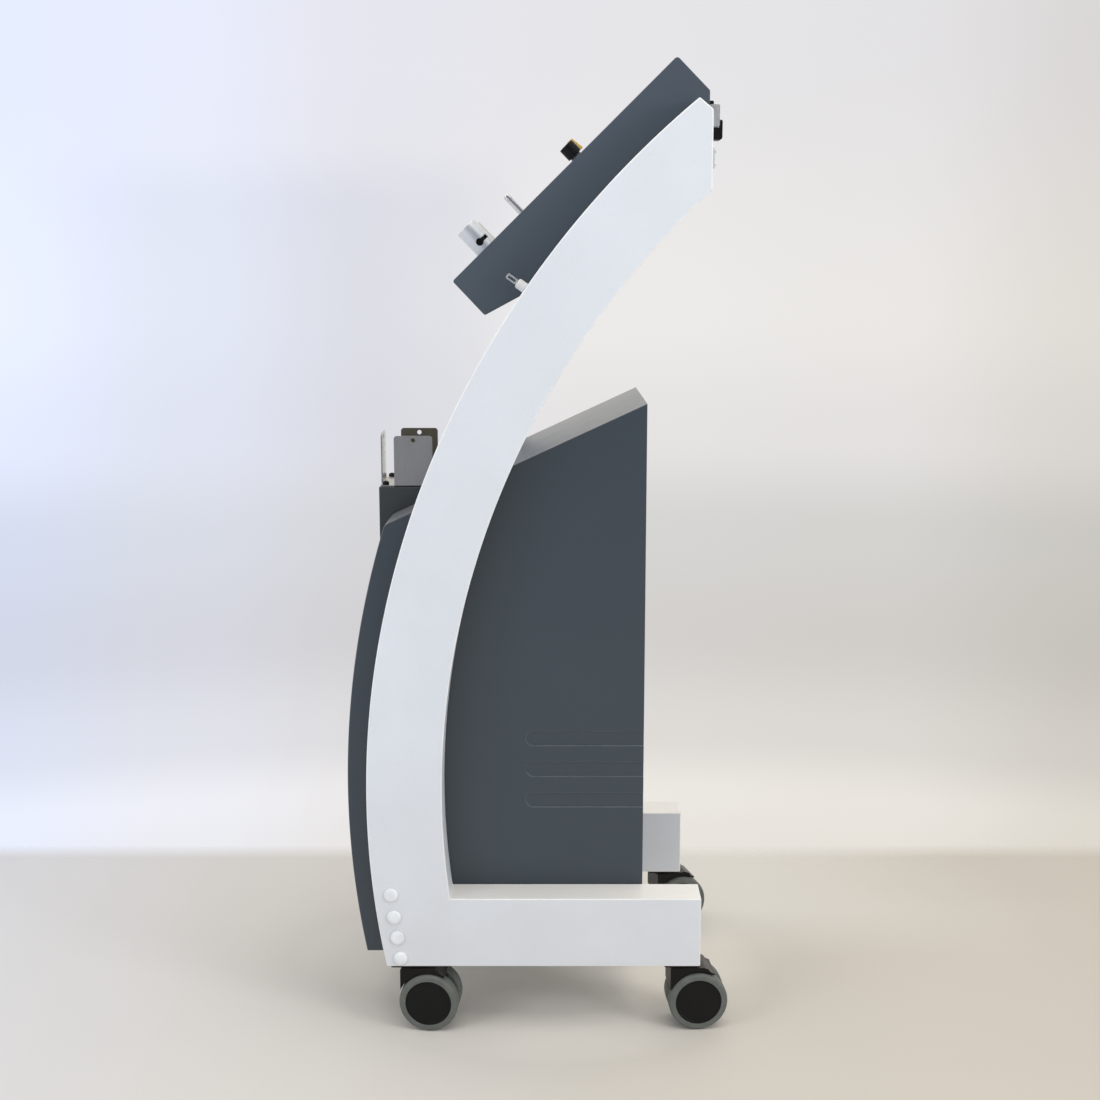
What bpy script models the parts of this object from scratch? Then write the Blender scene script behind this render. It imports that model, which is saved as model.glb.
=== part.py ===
"""Wheeled treatment console: two curved side frames, a tapered cabinet between
their lower halves, a tilted control head between their tips, a holder cradle on
the front of the cabinet and four twin-wheel castors.

Metres, +Z up.  X runs from the user's side (-X) to the rear (+X), Y runs across
the machine.  The origin is on the floor, under the middle of the overall box.
"""

import math

import bmesh
import bpy
from mathutils import Matrix, Vector

for old in list(bpy.data.objects):
    bpy.data.objects.remove(old, do_unlink=True)

# ------------------------------------------------------------ dimensions
GAP = 0.0003                      # clearance between pieces that meet

# side frames
FRAME_HALF = 0.183                # outer faces at Y = +-FRAME_HALF
FRAME_T = 0.050                   # thickness of a side frame across the machine
INNER = FRAME_HALF - FRAME_T      # inner faces
FRONT_C, FRONT_R = (0.8792, 0.3035), 1.0930   # arc of the front edge
REAR_C, REAR_R = (0.8790, 0.3100), 0.9990     # arc of the rear edge
TIP_X = 0.2016                    # upright end of the tip
TIP_TOP = (0.1876, 1.1480)        # where the front arc meets the tip chamfer
TIP_CHAMFER_Z = 1.1346
LEG_TOP, LEG_BOTTOM, LEG_END = 0.1770, 0.0870, 0.2035
CAP_R, CAP_H = 0.0090, 0.0040     # domed screw caps
CAP_INSET = (0.0217, 0.0215, 0.0213, 0.0199)   # their distances in from the front edge, top to bottom
CAP_Z = (0.1824, 0.1529, 0.1258, 0.0981)

# cabinet
SIDE = INNER - GAP                # outer face of the cabinet's side walls
SHEET = 0.0025
CAB_REAR = 0.1323
TOP_Z0, TOP_SLOPE = 0.7316, 0.462  # height of the sloped top at X = 0, rise per X
COVER_C, COVER_R = (0.9012, 0.3012), 1.1441   # arc of the front cover
COVER_BOTTOM = 0.0856
COVER_SHEET = 0.0020
COVER_DEPTH = 0.060               # how far its side flanges reach back
COVER_SEAM_X = -0.135             # seam across the sloped top
COVER_FILLET = 0.010
GROOVE_Z = (0.3703, 0.3298, 0.2894)
GROOVE_H, GROOVE_X0, GROOVE_DEPTH = 0.0188, -0.0165, 0.0013

# head
HEAD = ((-0.1032, 0.9395), (0.1628, 1.1995), (0.2018, 1.1605), (0.2016, 1.0417), (-0.0647, 0.8990))
HEAD_FILLET = (0.003, 0.004, 0.003, 0.001, 0.003)
HEAD_SHEET = 0.0025
PANEL_T = 0.004
DISPLAY_S, DISPLAY_HALF = (0.238, 0.352), 0.086
KNOB_S, KNOB_Y, KNOB_R = 0.2100, -0.085, 0.00975
KNOB_LOW, KNOB_HIGH = 0.0042, 0.0203
SPIGOT_S, SPIGOT_R, SPIGOT_H = 0.1175, 0.00455, 0.0329
CUP_S, CUP_Y, CUP_R, CUP_H = 0.0550, 0.070, 0.0143, 0.0369
CUP_BORE = 0.0117

# swivel eyes on the front edges of the side frames
EYE_Z = 0.9315
COLLAR_R, COLLAR_H = 0.00615, 0.0117
LOOP_W, LOOP_T, LOOP_END = 0.0068, 0.0034, 0.0263

# toggle latch at the back of the head
LATCH_Y = -0.115
LATCH_PIVOT = (0.2095, 1.1375)

# holder box and cradle
BOX_FRONT, BOX_TOP, BOX_HALF = -0.2047, 0.6795, 0.0520
CRADLE_T = 0.0015
CRADLE_X = (-0.2043, -0.1157)
CRADLE_HALF = 0.0515
CRADLE_TOP = 0.7447
TAB_HALF = 0.0245
TAB_X = -0.1605

# castors
WHEEL_R, WHEEL_W = 0.0375, 0.0185
WHEEL_OUT = 0.0255                # outer face of a wheel from the middle of the castor
HUB_R = 0.0288
TRAIL = 0.0234
CASTOR_Y = 0.158
CASTORS = (                       # name, swivel X, side of Y, swivel angle, plate reversed
    ("castor_front_left", -0.1617, -1, -5.0, False),
    ("castor_front_right", -0.1617, 1, -9.0, False),
    ("castor_rear_left", 0.1773, -1, 4.4, True),
    ("castor_rear_right", 0.1773, 1, 16.0, True),
)

SCENE = bpy.context.scene.collection


# ------------------------------------------------------------ helpers
def material(name, rgb, roughness, metallic=0.0):
    m = bpy.data.materials.get(name) or bpy.data.materials.new(name)
    m.use_nodes = True
    s = m.node_tree.nodes["Principled BSDF"]
    s.inputs["Base Color"].default_value = (*rgb, 1.0)
    s.inputs["Roughness"].default_value = roughness
    s.inputs["Metallic"].default_value = metallic
    return m


def new_object(name, bm, mat=None, parent=None, location=(0, 0, 0), rotation=(0, 0, 0), helper=False, sharp=35):
    bmesh.ops.recalc_face_normals(bm, faces=bm.faces)
    mesh = bpy.data.meshes.new(name)
    bm.to_mesh(mesh)
    bm.free()
    mesh.shade_smooth()
    mesh.set_sharp_from_angle(angle=math.radians(sharp))
    ob = bpy.data.objects.new(name, mesh)
    SCENE.objects.link(ob)
    if mat:
        mesh.materials.append(mat)
    if parent:
        ob.parent = parent
    ob.location = location
    ob.rotation_euler = rotation
    if helper:
        ob.hide_render = True
        ob.display_type = "WIRE"
    return ob


def empty(name, location, rotation=(0, 0, 0), parent=None):
    e = bpy.data.objects.new(name, None)
    e.empty_display_size = 0.03
    SCENE.objects.link(e)
    e.parent = parent
    e.location = location
    e.rotation_euler = rotation
    return e


def add_prism(bm, pts, y0, y1):
    """Adds an outline in the XZ plane, extruded from y0 to y1."""
    face = bm.faces.new([bm.verts.new((x, y0, z)) for x, z in pts])
    out = bmesh.ops.extrude_face_region(bm, geom=[face])
    moved = [g for g in out["geom"] if isinstance(g, bmesh.types.BMVert)]
    bmesh.ops.translate(bm, verts=moved, vec=(0, y1 - y0, 0))


def prism(pts, y0, y1):
    bm = bmesh.new()
    add_prism(bm, pts, y0, y1)
    return bm


def add_box(bm, lo, hi):
    m = Matrix.Translation([(a + b) / 2 for a, b in zip(lo, hi)]) @ Matrix.Diagonal([b - a for a, b in zip(lo, hi)] + [1])
    bmesh.ops.create_cube(bm, size=1.0, matrix=m)


def box(lo, hi):
    bm = bmesh.new()
    add_box(bm, lo, hi)
    return bm


def lathe(profile, segments=32):
    """Turns (radius, height) points about local Z.  A profile whose two ends
    have radius zero is closed by the axis, any other by its own last edge."""
    bm = bmesh.new()
    rings = []
    for r, h in profile:
        if r < 1e-7:
            rings.append([bm.verts.new((0, 0, h))])
        else:
            rings.append([
                bm.verts.new((r * math.cos(2 * math.pi * k / segments), r * math.sin(2 * math.pi * k / segments), h))
                for k in range(segments)
            ])
    pairs = list(zip(rings, rings[1:]))
    if len(rings[0]) > 1:
        pairs.append((rings[-1], rings[0]))
    for a, b in pairs:
        for k in range(segments):
            j = (k + 1) % segments
            if len(a) == 1:
                bm.faces.new((a[0], b[k], b[j]))
            elif len(b) == 1:
                bm.faces.new((a[k], a[j], b[0]))
            else:
                bm.faces.new((a[k], a[j], b[j], b[k]))
    return bm


def cylinder_between(p, q, r, segments=24):
    """A closed cylinder from p to q."""
    p, q = Vector(p), Vector(q)
    turn = (q - p).to_track_quat("Z", "Y").to_matrix().to_4x4()
    bm = bmesh.new()
    bmesh.ops.create_cone(bm, cap_ends=True, segments=segments, radius1=r, radius2=r, depth=(q - p).length,
                          matrix=Matrix.Translation((p + q) / 2) @ turn)
    return bm


def arc(center, r, z0, z1, n):
    """Points of the left-hand side of a circle in XZ, from height z0 to z1."""
    a0 = math.asin((z0 - center[1]) / r)
    a1 = math.asin((z1 - center[1]) / r)
    return [(center[0] - r * math.cos(a0 + (a1 - a0) * k / n), center[1] + r * math.sin(a0 + (a1 - a0) * k / n))
            for k in range(n + 1)]


def arc_x(center, r, z):
    return center[0] - math.sqrt(r * r - (z - center[1]) ** 2)


def fillet(pts, radii, n=4):
    """Rounds the corners of an outline; radii holds one radius per point."""
    out = []
    for i, p in enumerate(pts):
        r = radii[i]
        a, b, c = Vector(pts[i - 1]), Vector(p), Vector(pts[(i + 1) % len(pts)])
        if r <= 0:
            out.append(tuple(b))
            continue
        u, v = (a - b).normalized(), (c - b).normalized()
        half = u.angle(v) / 2
        cut = r / math.tan(half)
        mid = b + (u + v).normalized() * (r / math.sin(half))
        s, e = b + u * cut, b + v * cut
        s0, e0 = s - mid, e - mid
        for k in range(n + 1):
            d = s0.normalized().slerp(e0.normalized(), k / n) * r
            out.append(tuple(mid + d))
    return out


def inset(pts, dists):
    """Moves each side of a convex outline, given clockwise or not, inwards."""
    area = sum(a[0] * b[1] - b[0] * a[1] for a, b in zip(pts, pts[1:] + pts[:1]))
    turn = 1 if area > 0 else -1
    lines = []
    for i, d in enumerate(dists):
        a, b = Vector(pts[i]), Vector(pts[(i + 1) % len(pts)])
        t = (b - a).normalized()
        nrm = Vector((-t.y, t.x)) * turn
        lines.append((a + nrm * d, t))
    out = []
    for i in range(len(pts)):
        (p, t), (q, s) = lines[i - 1], lines[i]
        k = ((q - p).x * s.y - (q - p).y * s.x) / (t.x * s.y - t.y * s.x)
        out.append(tuple(p + t * k))
    return out


def rounded_rect(x0, z0, x1, z1, r, n=4, corners=(1, 1, 1, 1)):
    return fillet([(x0, z0), (x1, z0), (x1, z1), (x0, z1)], [r * c for c in corners], n)


def cut(ob, helper, operation="DIFFERENCE"):
    m = ob.modifiers.new(operation.lower(), "BOOLEAN")
    m.operation = operation
    m.solver = "EXACT"
    m.object = helper


def bevel(ob, width, segments=2, angle=40):
    m = ob.modifiers.new("edge", "BEVEL")
    m.width = width
    m.segments = segments
    m.limit_method = "ANGLE"
    m.angle_limit = math.radians(angle)
    m.use_clamp_overlap = True


def top_z(x):
    return TOP_Z0 + TOP_SLOPE * x


def line_meets_arc(z0, center, r):
    """Where the line z = z0 + TOP_SLOPE x meets the left side of a circle."""
    k, c = TOP_SLOPE, z0 - center[1]
    a = 1 + k * k
    b = 2 * (k * c - center[0])
    d = center[0] ** 2 + c * c - r * r
    x = (-b - math.sqrt(b * b - 4 * a * d)) / (2 * a)
    return x, z0 + k * x


# ------------------------------------------------------------ materials
WHITE = material("white_powder_coat", (0.74, 0.75, 0.77), 0.42)
SLATE = material("slate_powder_coat", (0.066, 0.081, 0.103), 0.45)
CHARCOAL = material("charcoal_plastic", (0.020, 0.021, 0.023), 0.50)
BRUSHED = material("brushed_stainless", (0.55, 0.55, 0.54), 0.32, 1.0)
ALU = material("satin_aluminium", (0.72, 0.73, 0.75), 0.30, 1.0)
CHROME = material("chrome", (0.80, 0.80, 0.80), 0.08, 1.0)
BLACK = material("black_plastic", (0.012, 0.012, 0.012), 0.45)
YELLOW = material("yellow_plastic", (0.87, 0.52, 0.06), 0.45)
WHITE_PLASTIC = material("white_plastic", (0.78, 0.77, 0.74), 0.40)
GLASS = material("display_glass", (0.010, 0.011, 0.013), 0.08)
TYRE = material("grey_tyre", (0.155, 0.180, 0.175), 0.62)
HUB = material("black_hub", (0.014, 0.014, 0.013), 0.50)
STEEL = material("zinc_steel", (0.50, 0.50, 0.49), 0.38, 1.0)

# ------------------------------------------------------------ side frames
frame_outline = (
    arc(FRONT_C, FRONT_R, LEG_BOTTOM, TIP_TOP[1], 34)
    + [(TIP_X, TIP_CHAMFER_Z)]
    + arc(REAR_C, REAR_R, REAR_C[1] + math.sqrt(REAR_R ** 2 - (REAR_C[0] - TIP_X) ** 2), LEG_TOP, 30)
    + [(LEG_END, LEG_TOP), (LEG_END, LEG_BOTTOM)]
)
for side, name in ((-1, "left"), (1, "right")):
    y0, y1 = sorted((side * INNER, side * FRAME_HALF))
    ob = new_object("side_frame_" + name, prism(frame_outline, y0, y1), WHITE)
    bevel(ob, 0.0014, 2)
    dome = [(0, 0), (CAP_R, 0), (CAP_R, 0.0009)] + [
        (CAP_R * math.cos(a), 0.0009 + (CAP_H - GAP - 0.0009) * math.sin(a)) for a in (0.45, 1.0)
    ] + [(0, CAP_H - GAP)]
    for k, z in enumerate(CAP_Z):
        x = arc_x(FRONT_C, FRONT_R, z) + CAP_INSET[k]
        new_object("cap_%s_%d" % (name, k + 1), lathe(dome, 20), WHITE_PLASTIC,
                   location=(x, side * (FRAME_HALF + GAP), z), rotation=(side * -math.pi / 2, 0, 0))

# ------------------------------------------------------------ cabinet
corner = line_meets_arc(TOP_Z0, COVER_C, COVER_R)
front_arc = arc(COVER_C, COVER_R, COVER_BOTTOM, corner[1], 24)
back_r = COVER_R - COVER_DEPTH
seam_low_z = COVER_C[1] + math.sqrt(back_r ** 2 - (COVER_C[0] - COVER_SEAM_X) ** 2)
back_arc = arc(COVER_C, back_r, seam_low_z, COVER_BOTTOM, 20)
outline = front_arc + [(COVER_SEAM_X, top_z(COVER_SEAM_X))] + back_arc
radii = [0.0] * len(outline)
radii[len(front_arc) - 1] = COVER_FILLET
cover = new_object("front_cover", prism(fillet(outline, radii), -SIDE, SIDE), SLATE)
drop = COVER_SHEET * math.sqrt(1 + TOP_SLOPE ** 2)
in_corner = line_meets_arc(TOP_Z0 - drop, COVER_C, COVER_R - COVER_SHEET)
hollow = arc(COVER_C, COVER_R - COVER_SHEET, COVER_BOTTOM + COVER_SHEET, in_corner[1], 24)
hollow_radii = [0.0] * (len(hollow) - 1) + [COVER_FILLET - COVER_SHEET, 0, 0, 0]
hollow += [(-0.100, top_z(-0.100) - drop), (-0.080, 0.300), (-0.100, COVER_BOTTOM + COVER_SHEET)]
cut(cover, new_object("front_cover_hollow", prism(fillet(hollow, hollow_radii), -(SIDE - COVER_SHEET), SIDE - COVER_SHEET), helper=True))

pan_top = LEG_BOTTOM + GAP + SHEET
shell_front = arc(COVER_C, back_r - GAP, pan_top + GAP,
                  COVER_C[1] + math.sqrt((back_r - GAP) ** 2 - (COVER_C[0] - COVER_SEAM_X - GAP) ** 2), 20)
shell = new_object("cabinet_shell", prism(
    shell_front + [(COVER_SEAM_X + GAP, top_z(COVER_SEAM_X + GAP)), (CAB_REAR, top_z(CAB_REAR)), (CAB_REAR, pan_top + GAP)],
    -SIDE, SIDE), SLATE)
lower = SHEET * math.sqrt(1 + TOP_SLOPE ** 2)
cut(shell, new_object("cabinet_hollow", prism(
    [(-0.30, 0.0), (0.20, 0.0), (0.20, top_z(0.20) - lower), (-0.30, top_z(-0.30) - lower)],
    -(SIDE - SHEET), SIDE - SHEET), helper=True))
grooves = bmesh.new()
for z in GROOVE_Z:
    h = GROOVE_H / 2
    end = [(GROOVE_X0 + h - h * math.cos(a), z + h * math.sin(a)) for a in [math.pi / 2 - math.pi * k / 8 for k in range(9)]]
    for side in (-1, 1):
        y0, y1 = sorted((side * (SIDE - GROOVE_DEPTH), side * (SIDE + 0.010)))
        add_prism(grooves, end + [(CAB_REAR + 0.010, z - h), (CAB_REAR + 0.010, z + h)], y0, y1)
cut(shell, new_object("groove_cutters", grooves, helper=True))

new_object("base_pan", box((-0.1605, -SIDE, LEG_BOTTOM + GAP), (CAB_REAR, SIDE, pan_top)), SLATE)

REAR_X = 0.1280
rear_half = SIDE - SHEET - GAP
rear = new_object("rear_panel", box((REAR_X, -rear_half, pan_top + GAP), (REAR_X + 0.002, rear_half, 0.7870)), SLATE)
INLET_Y, INLET_Z = 0.060, 0.150
vents = box((REAR_X - 0.01, INLET_Y - 0.0255, INLET_Z - 0.0155), (REAR_X + 0.02, INLET_Y + 0.0255, INLET_Z + 0.0155))
for row in range(7):
    for column in (-1, 1):
        z = 0.640 + 0.014 * row
        y = column * 0.050
        add_box(vents, (REAR_X - 0.01, y - 0.040, z - 0.0018), (REAR_X + 0.02, y + 0.040, z + 0.0018))
cut(rear, new_object("rear_openings", vents, helper=True))
inlet = new_object("power_inlet", box((0.1100, INLET_Y - 0.0250, INLET_Z - 0.0150), (0.1320, INLET_Y + 0.0250, INLET_Z + 0.0150)), BLACK)
cut(inlet, new_object("inlet_flange", box((REAR_X + 0.002 + GAP, INLET_Y - 0.0290, INLET_Z - 0.0190),
                                          (0.1320, INLET_Y + 0.0290, INLET_Z + 0.0190)), helper=True), "UNION")
cut(inlet, new_object("inlet_socket", prism(
    fillet([(0.1160, -0.0085), (0.1400, -0.0085), (0.1400, 0.0085), (0.1160, 0.0085)], [0] * 4), -0.0125, 0.0125),
    location=(0, INLET_Y - 0.008, INLET_Z), helper=True))

# ------------------------------------------------------------ head
head = new_object("head_housing", prism(fillet(list(HEAD), HEAD_FILLET, 3), -SIDE, SIDE), SLATE)
pocket = inset(list(HEAD), [-0.020] + [HEAD_SHEET] * 4)
cut(head, new_object("head_pocket", prism(pocket, -(SIDE - HEAD_SHEET), SIDE - HEAD_SHEET), helper=True))

FACE_A, FACE_B = Vector((HEAD[0][0], 0, HEAD[0][1])), Vector((HEAD[1][0], 0, HEAD[1][1]))
FACE_L = (FACE_B - FACE_A).length
TILT = math.atan2(FACE_B.z - FACE_A.z, FACE_B.x - FACE_A.x)
# local X up the face, local Z out of it
face = empty("face_frame", FACE_A, (0, -TILT, 0))
panel_half = SIDE - HEAD_SHEET - GAP
panel = new_object("head_face_panel", box((0.0035, -panel_half, -PANEL_T), (FACE_L - 0.0035, panel_half, 0)), SLATE, face)
cut(panel, new_object("display_recess", box((DISPLAY_S[0], -DISPLAY_HALF, -0.0022), (DISPLAY_S[1], DISPLAY_HALF, 0.01)), parent=face, helper=True))
cut(panel, new_object("knob_bushing", cylinder_between((KNOB_S, KNOB_Y, -0.002), (KNOB_S, KNOB_Y, KNOB_LOW - GAP), 0.0072), parent=face, helper=True), "UNION")
new_object("display", box((DISPLAY_S[0] + GAP, -DISPLAY_HALF + GAP, -0.0022 + GAP), (DISPLAY_S[1] - GAP, DISPLAY_HALF - GAP, 0)), GLASS, face)

knob_axis = empty("knob_axis", (KNOB_S, KNOB_Y, 0), parent=face)
new_object("knob", lathe([(0, KNOB_LOW), (KNOB_R, KNOB_LOW), (KNOB_R, KNOB_HIGH - 0.0006), (KNOB_R - 0.0006, KNOB_HIGH), (0, KNOB_HIGH)], 36), BLACK, knob_axis)
new_object("knob_pointer", prism(
    [(KNOB_R + GAP, KNOB_LOW), (0.0134, KNOB_LOW), (0.0112, KNOB_HIGH + 0.0009), (0.0020, KNOB_HIGH + 0.0009),
     (0.0020, KNOB_HIGH + GAP), (KNOB_R + GAP, KNOB_HIGH + GAP)], -0.0016, 0.0016), YELLOW, knob_axis)

new_object("hose_spigot", lathe([
    (0, GAP), (0.0070, GAP), (0.0070, 0.0020), (0.0064, 0.0024), (SPIGOT_R, 0.0024), (SPIGOT_R, SPIGOT_H - 0.0010),
    (SPIGOT_R - 0.0010, SPIGOT_H), (0.00175, SPIGOT_H), (0.00175, SPIGOT_H - 0.015), (0, SPIGOT_H - 0.015)], 28),
    CHROME, face, (SPIGOT_S, 0, 0))

for side, name in ((-1, "left"), (1, "right")):
    axis = empty("cup_axis_" + name, (CUP_S, side * CUP_Y, 0), parent=face)
    # the sleeve turns about the fixed core
    sleeve = new_object("cup_sleeve_" + name, lathe([
        (CUP_BORE, GAP), (CUP_R, GAP), (CUP_R, CUP_H - 0.0006), (CUP_R - 0.0006, CUP_H), (CUP_BORE + 0.0004, CUP_H),
        (CUP_BORE, CUP_H - 0.0004)], 36), ALU, axis)
    # bayonet slot: a round entry facing -Y with a bar running round towards +X
    cut(sleeve, new_object("cup_slot_round_" + name, cylinder_between((0, -0.018, 0.0119), (0, -0.004, 0.0119), 0.0043, 20), parent=axis, helper=True))
    cut(sleeve, new_object("cup_slot_bar_" + name, box((0.0005, -0.0175, 0.0102), (0.0118, -0.0045, 0.0138)), parent=axis, helper=True))
    new_object("cup_core_" + name, lathe([
        (0, GAP), (0.0112, GAP), (0.0112, 0.0250), (0.0106, 0.0258), (0.0070, 0.0258), (0.0064, 0.0250),
        (0.0064, 0.0130), (0, 0.0130)], 28), BLACK, axis)

# ------------------------------------------------------------ swivel eyes
eye_x = arc_x(FRONT_C, FRONT_R, EYE_Z)
out = Vector((eye_x - FRONT_C[0], 0, EYE_Z - FRONT_C[1])).normalized()
EYE_TILT = math.atan2(out.x, out.z)
for side, name in ((-1, "left"), (1, "right")):
    seat = Vector((eye_x, side * (FRAME_HALF - FRAME_T / 2), EYE_Z)) + out * GAP
    axis = empty("eye_axis_" + name, seat, (0, EYE_TILT, 0))
    new_object("eye_collar_" + name, lathe([
        (0, 0), (COLLAR_R, 0), (COLLAR_R, COLLAR_H - 0.0018), (COLLAR_R - 0.0006, COLLAR_H - 0.0007), (COLLAR_R - 0.0018, COLLAR_H),
        (0.0021, COLLAR_H), (0.0021, 0.0040), (0, 0.0040)], 28), WHITE_PLASTIC, axis)
    w = LOOP_W / 2
    loop = new_object("eye_loop_" + name, prism(rounded_rect(-w, COLLAR_H + GAP, w, LOOP_END, 0.0016, 3), -LOOP_T / 2, LOOP_T / 2), CHROME, axis)
    cut(loop, new_object("eye_hole_" + name, prism(rounded_rect(-w + 0.0018, COLLAR_H + 0.0024, w - 0.0018, LOOP_END - 0.0019, 0.0010, 2), -0.01, 0.01), parent=axis, helper=True))
    cut(loop, new_object("eye_shank_" + name, cylinder_between((0, 0, 0.0045), (0, 0, COLLAR_H + 0.0018), 0.0016, 16), parent=axis, helper=True), "UNION")

# ------------------------------------------------------------ toggle latch
LATCH_BASE = HEAD[2][0] + GAP
px, pz = LATCH_PIVOT
pivot = empty("latch_pivot", (px, LATCH_Y, pz))
new_object("latch_keeper", prism(rounded_rect(LATCH_BASE, 1.1435, 0.2077, 1.1500, 0.0015, 3, (0, 1, 1, 0)), LATCH_Y - 0.0055, LATCH_Y + 0.0055), BLACK)
EAR_R = 0.0175
ear_half = 0.0052
low = math.sqrt(EAR_R ** 2 - ear_half ** 2)
a0, a1 = math.atan2(-low, ear_half), math.atan2(-low, -(px - LATCH_BASE))
ear = [(px + ear_half, 1.1454), (px + ear_half, pz - low)] + [
    (px + EAR_R * math.cos(a0 + (a1 - a0) * k / 6), pz + EAR_R * math.sin(a0 + (a1 - a0) * k / 6)) for k in range(1, 7)
]
ear = ear[:-1] + [(LATCH_BASE, ear[-1][1]), (LATCH_BASE, 1.1454)]
bracket = new_object("latch_bracket", box((LATCH_BASE, LATCH_Y - 0.0095, 1.1215), (LATCH_BASE + 0.0015, LATCH_Y + 0.0095, 1.1425)), STEEL)
for side in (-1, 1):
    y0, y1 = sorted((LATCH_Y + side * 0.0080, LATCH_Y + side * 0.0095))
    cut(bracket, new_object("latch_ear_%d" % (side + 1), prism(ear, y0, y1), helper=True), "UNION")
cut(bracket, new_object("latch_pin", cylinder_between((px, LATCH_Y - 0.0102, pz), (px, LATCH_Y + 0.0102, pz), 0.0019, 20), helper=True), "UNION")
lever = new_object("latch_lever", prism([(0.0038 * math.cos(a), 0.0038 * math.sin(a)) for a in [math.radians(-30 + 240 * k / 12) for k in range(13)]]
                                        + [(-0.0022, -0.0290), (0.0022, -0.0290)], -0.0070, 0.0070), STEEL, pivot)
cut(lever, new_object("latch_bore", cylinder_between((0, -0.02, 0), (0, 0.02, 0), 0.0022, 20), parent=pivot, helper=True))
grip = new_object("latch_grip", prism(fillet([
    (-0.0060, -0.0330), (0.0085, -0.0330), (0.0085, -0.0105), (0.0060, -0.0095), (0.0060, -0.0186), (-0.0060, -0.0186)],
    [0.0015, 0.0035, 0.0020, 0, 0, 0.001], 3), -0.0110, 0.0110), BLACK, pivot)
cut(grip, new_object("latch_grip_slot", box((-0.0030, -0.0073, -0.0293), (0.0030, 0.0073, -0.0100)), parent=pivot, helper=True))

# small screwed plate on the rear end of the left frame's tip
plate = new_object("edge_plate", prism(rounded_rect(-0.0150, 1.0690, 0.0150, 1.0930, 0.0020), 0, 0.0026), WHITE_PLASTIC,
                   location=(TIP_X + GAP, -(FRAME_HALF - FRAME_T / 2), 0), rotation=(0, 0, -math.pi / 2))

# ------------------------------------------------------------ holder
rise = GAP * math.sqrt(1 + TOP_SLOPE ** 2)
box_corner = line_meets_arc(TOP_Z0 + rise, COVER_C, COVER_R + GAP)
box_rear = (BOX_TOP - 0.0010 - TOP_Z0 - rise) / TOP_SLOPE
box_low = COVER_C[1] + math.sqrt((COVER_R + GAP) ** 2 - (COVER_C[0] - BOX_FRONT) ** 2)
side_arc = arc(COVER_C, COVER_R + GAP, box_corner[1], box_low, 5)
pts = [(BOX_FRONT, BOX_TOP), (box_rear, BOX_TOP), (box_rear, top_z(box_rear) + rise)] + side_arc
new_object("holder_box", prism(fillet(pts, [0.0012, 0, 0, COVER_FILLET + GAP] + [0] * 5), -BOX_HALF, BOX_HALF), CHARCOAL)

floor_low = BOX_TOP + GAP
cradle = new_object("holder_cradle", box((CRADLE_X[0], -CRADLE_HALF, floor_low), (CRADLE_X[1], CRADLE_HALF, floor_low + CRADLE_T)), BRUSHED)
low = floor_low + CRADLE_T * 0.4
for name, y in (("near", -CRADLE_HALF), ("far", CRADLE_HALF - CRADLE_T)):
    tab = rounded_rect(TAB_X - TAB_HALF, low, TAB_X + TAB_HALF, CRADLE_TOP, 0.0040, 4, (0, 0, 1, 1))
    cut(cradle, new_object("tab_" + name, prism(tab, y, y + CRADLE_T), helper=True), "UNION")
for name, x in (("front", CRADLE_X[0]), ("rear", CRADLE_X[1] - CRADLE_T)):
    tab = rounded_rect(-TAB_HALF, low, TAB_HALF, CRADLE_TOP, 0.0040, 4, (0, 0, 1, 1))
    cut(cradle, new_object("tab_" + name, prism(tab, 0, CRADLE_T), location=(x + CRADLE_T, 0, 0), rotation=(0, 0, math.pi / 2), helper=True), "UNION")
cut(cradle, new_object("tab_holes_side", cylinder_between((TAB_X, -0.1, CRADLE_TOP - 0.0057), (TAB_X, 0.1, CRADLE_TOP - 0.0057), 0.0029, 20), helper=True))
cut(cradle, new_object("tab_holes_end", cylinder_between((-0.25, 0, CRADLE_TOP - 0.0057), (-0.05, 0, CRADLE_TOP - 0.0057), 0.0029, 20), helper=True))

# ------------------------------------------------------------ castors
HOOD_R = WHEEL_R + 0.0018
HOOD_TOP, PLATE_LOW = 0.0824, 0.0837
WEB_HALF, HOOD_HALF = 0.0055, 0.0220
AXLE_R = 0.0040


def around(r, degrees):
    return [(TRAIL + r * math.cos(math.radians(a)), WHEEL_R + r * math.sin(math.radians(a))) for a in degrees]


front_x = TRAIL - 0.0360
front_angle = math.degrees(math.acos(-0.0360 / HOOD_R))
hood_outline = around(HOOD_R, [front_angle + (60 - front_angle) * k / 12 for k in range(13)]) + around(HOOD_R + 0.0024, [60, 67]) + [
    (TRAIL + 0.0095, HOOD_TOP - 0.0010), (TRAIL + 0.0070, HOOD_TOP), (front_x + 0.003, HOOD_TOP), (front_x, HOOD_TOP - 0.003)]
web_outline = around(HOOD_R + 0.0012, [front_angle - 3 + (64 - front_angle + 3) * k / 12 for k in range(13)]) + around(0.0260, [20 - (220) * k / 12 for k in range(13)])
tyre_profile = [(HUB_R + GAP, 0.0010), (0.0345, 0.0006), (WHEEL_R - 0.0008, 0.0022), (WHEEL_R, 0.0045), (WHEEL_R, 0.0130),
                (WHEEL_R - 0.0007, 0.0158), (WHEEL_R - 0.0026, 0.0179), (WHEEL_R - 0.0052, WHEEL_W), (HUB_R + GAP, WHEEL_W - 0.0002)]
hub_profile = [(AXLE_R + 0.0004, 0.0014), (HUB_R, 0.0014), (HUB_R, WHEEL_W - 0.0012), (HUB_R - 0.0008, WHEEL_W - 0.0005),
               (0, WHEEL_W - 0.0005), (0, 0.0150), (AXLE_R + 0.0004, 0.0150)]
hub_profile = hub_profile[4:0:-1] + [hub_profile[0], hub_profile[6], hub_profile[5]]

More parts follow.
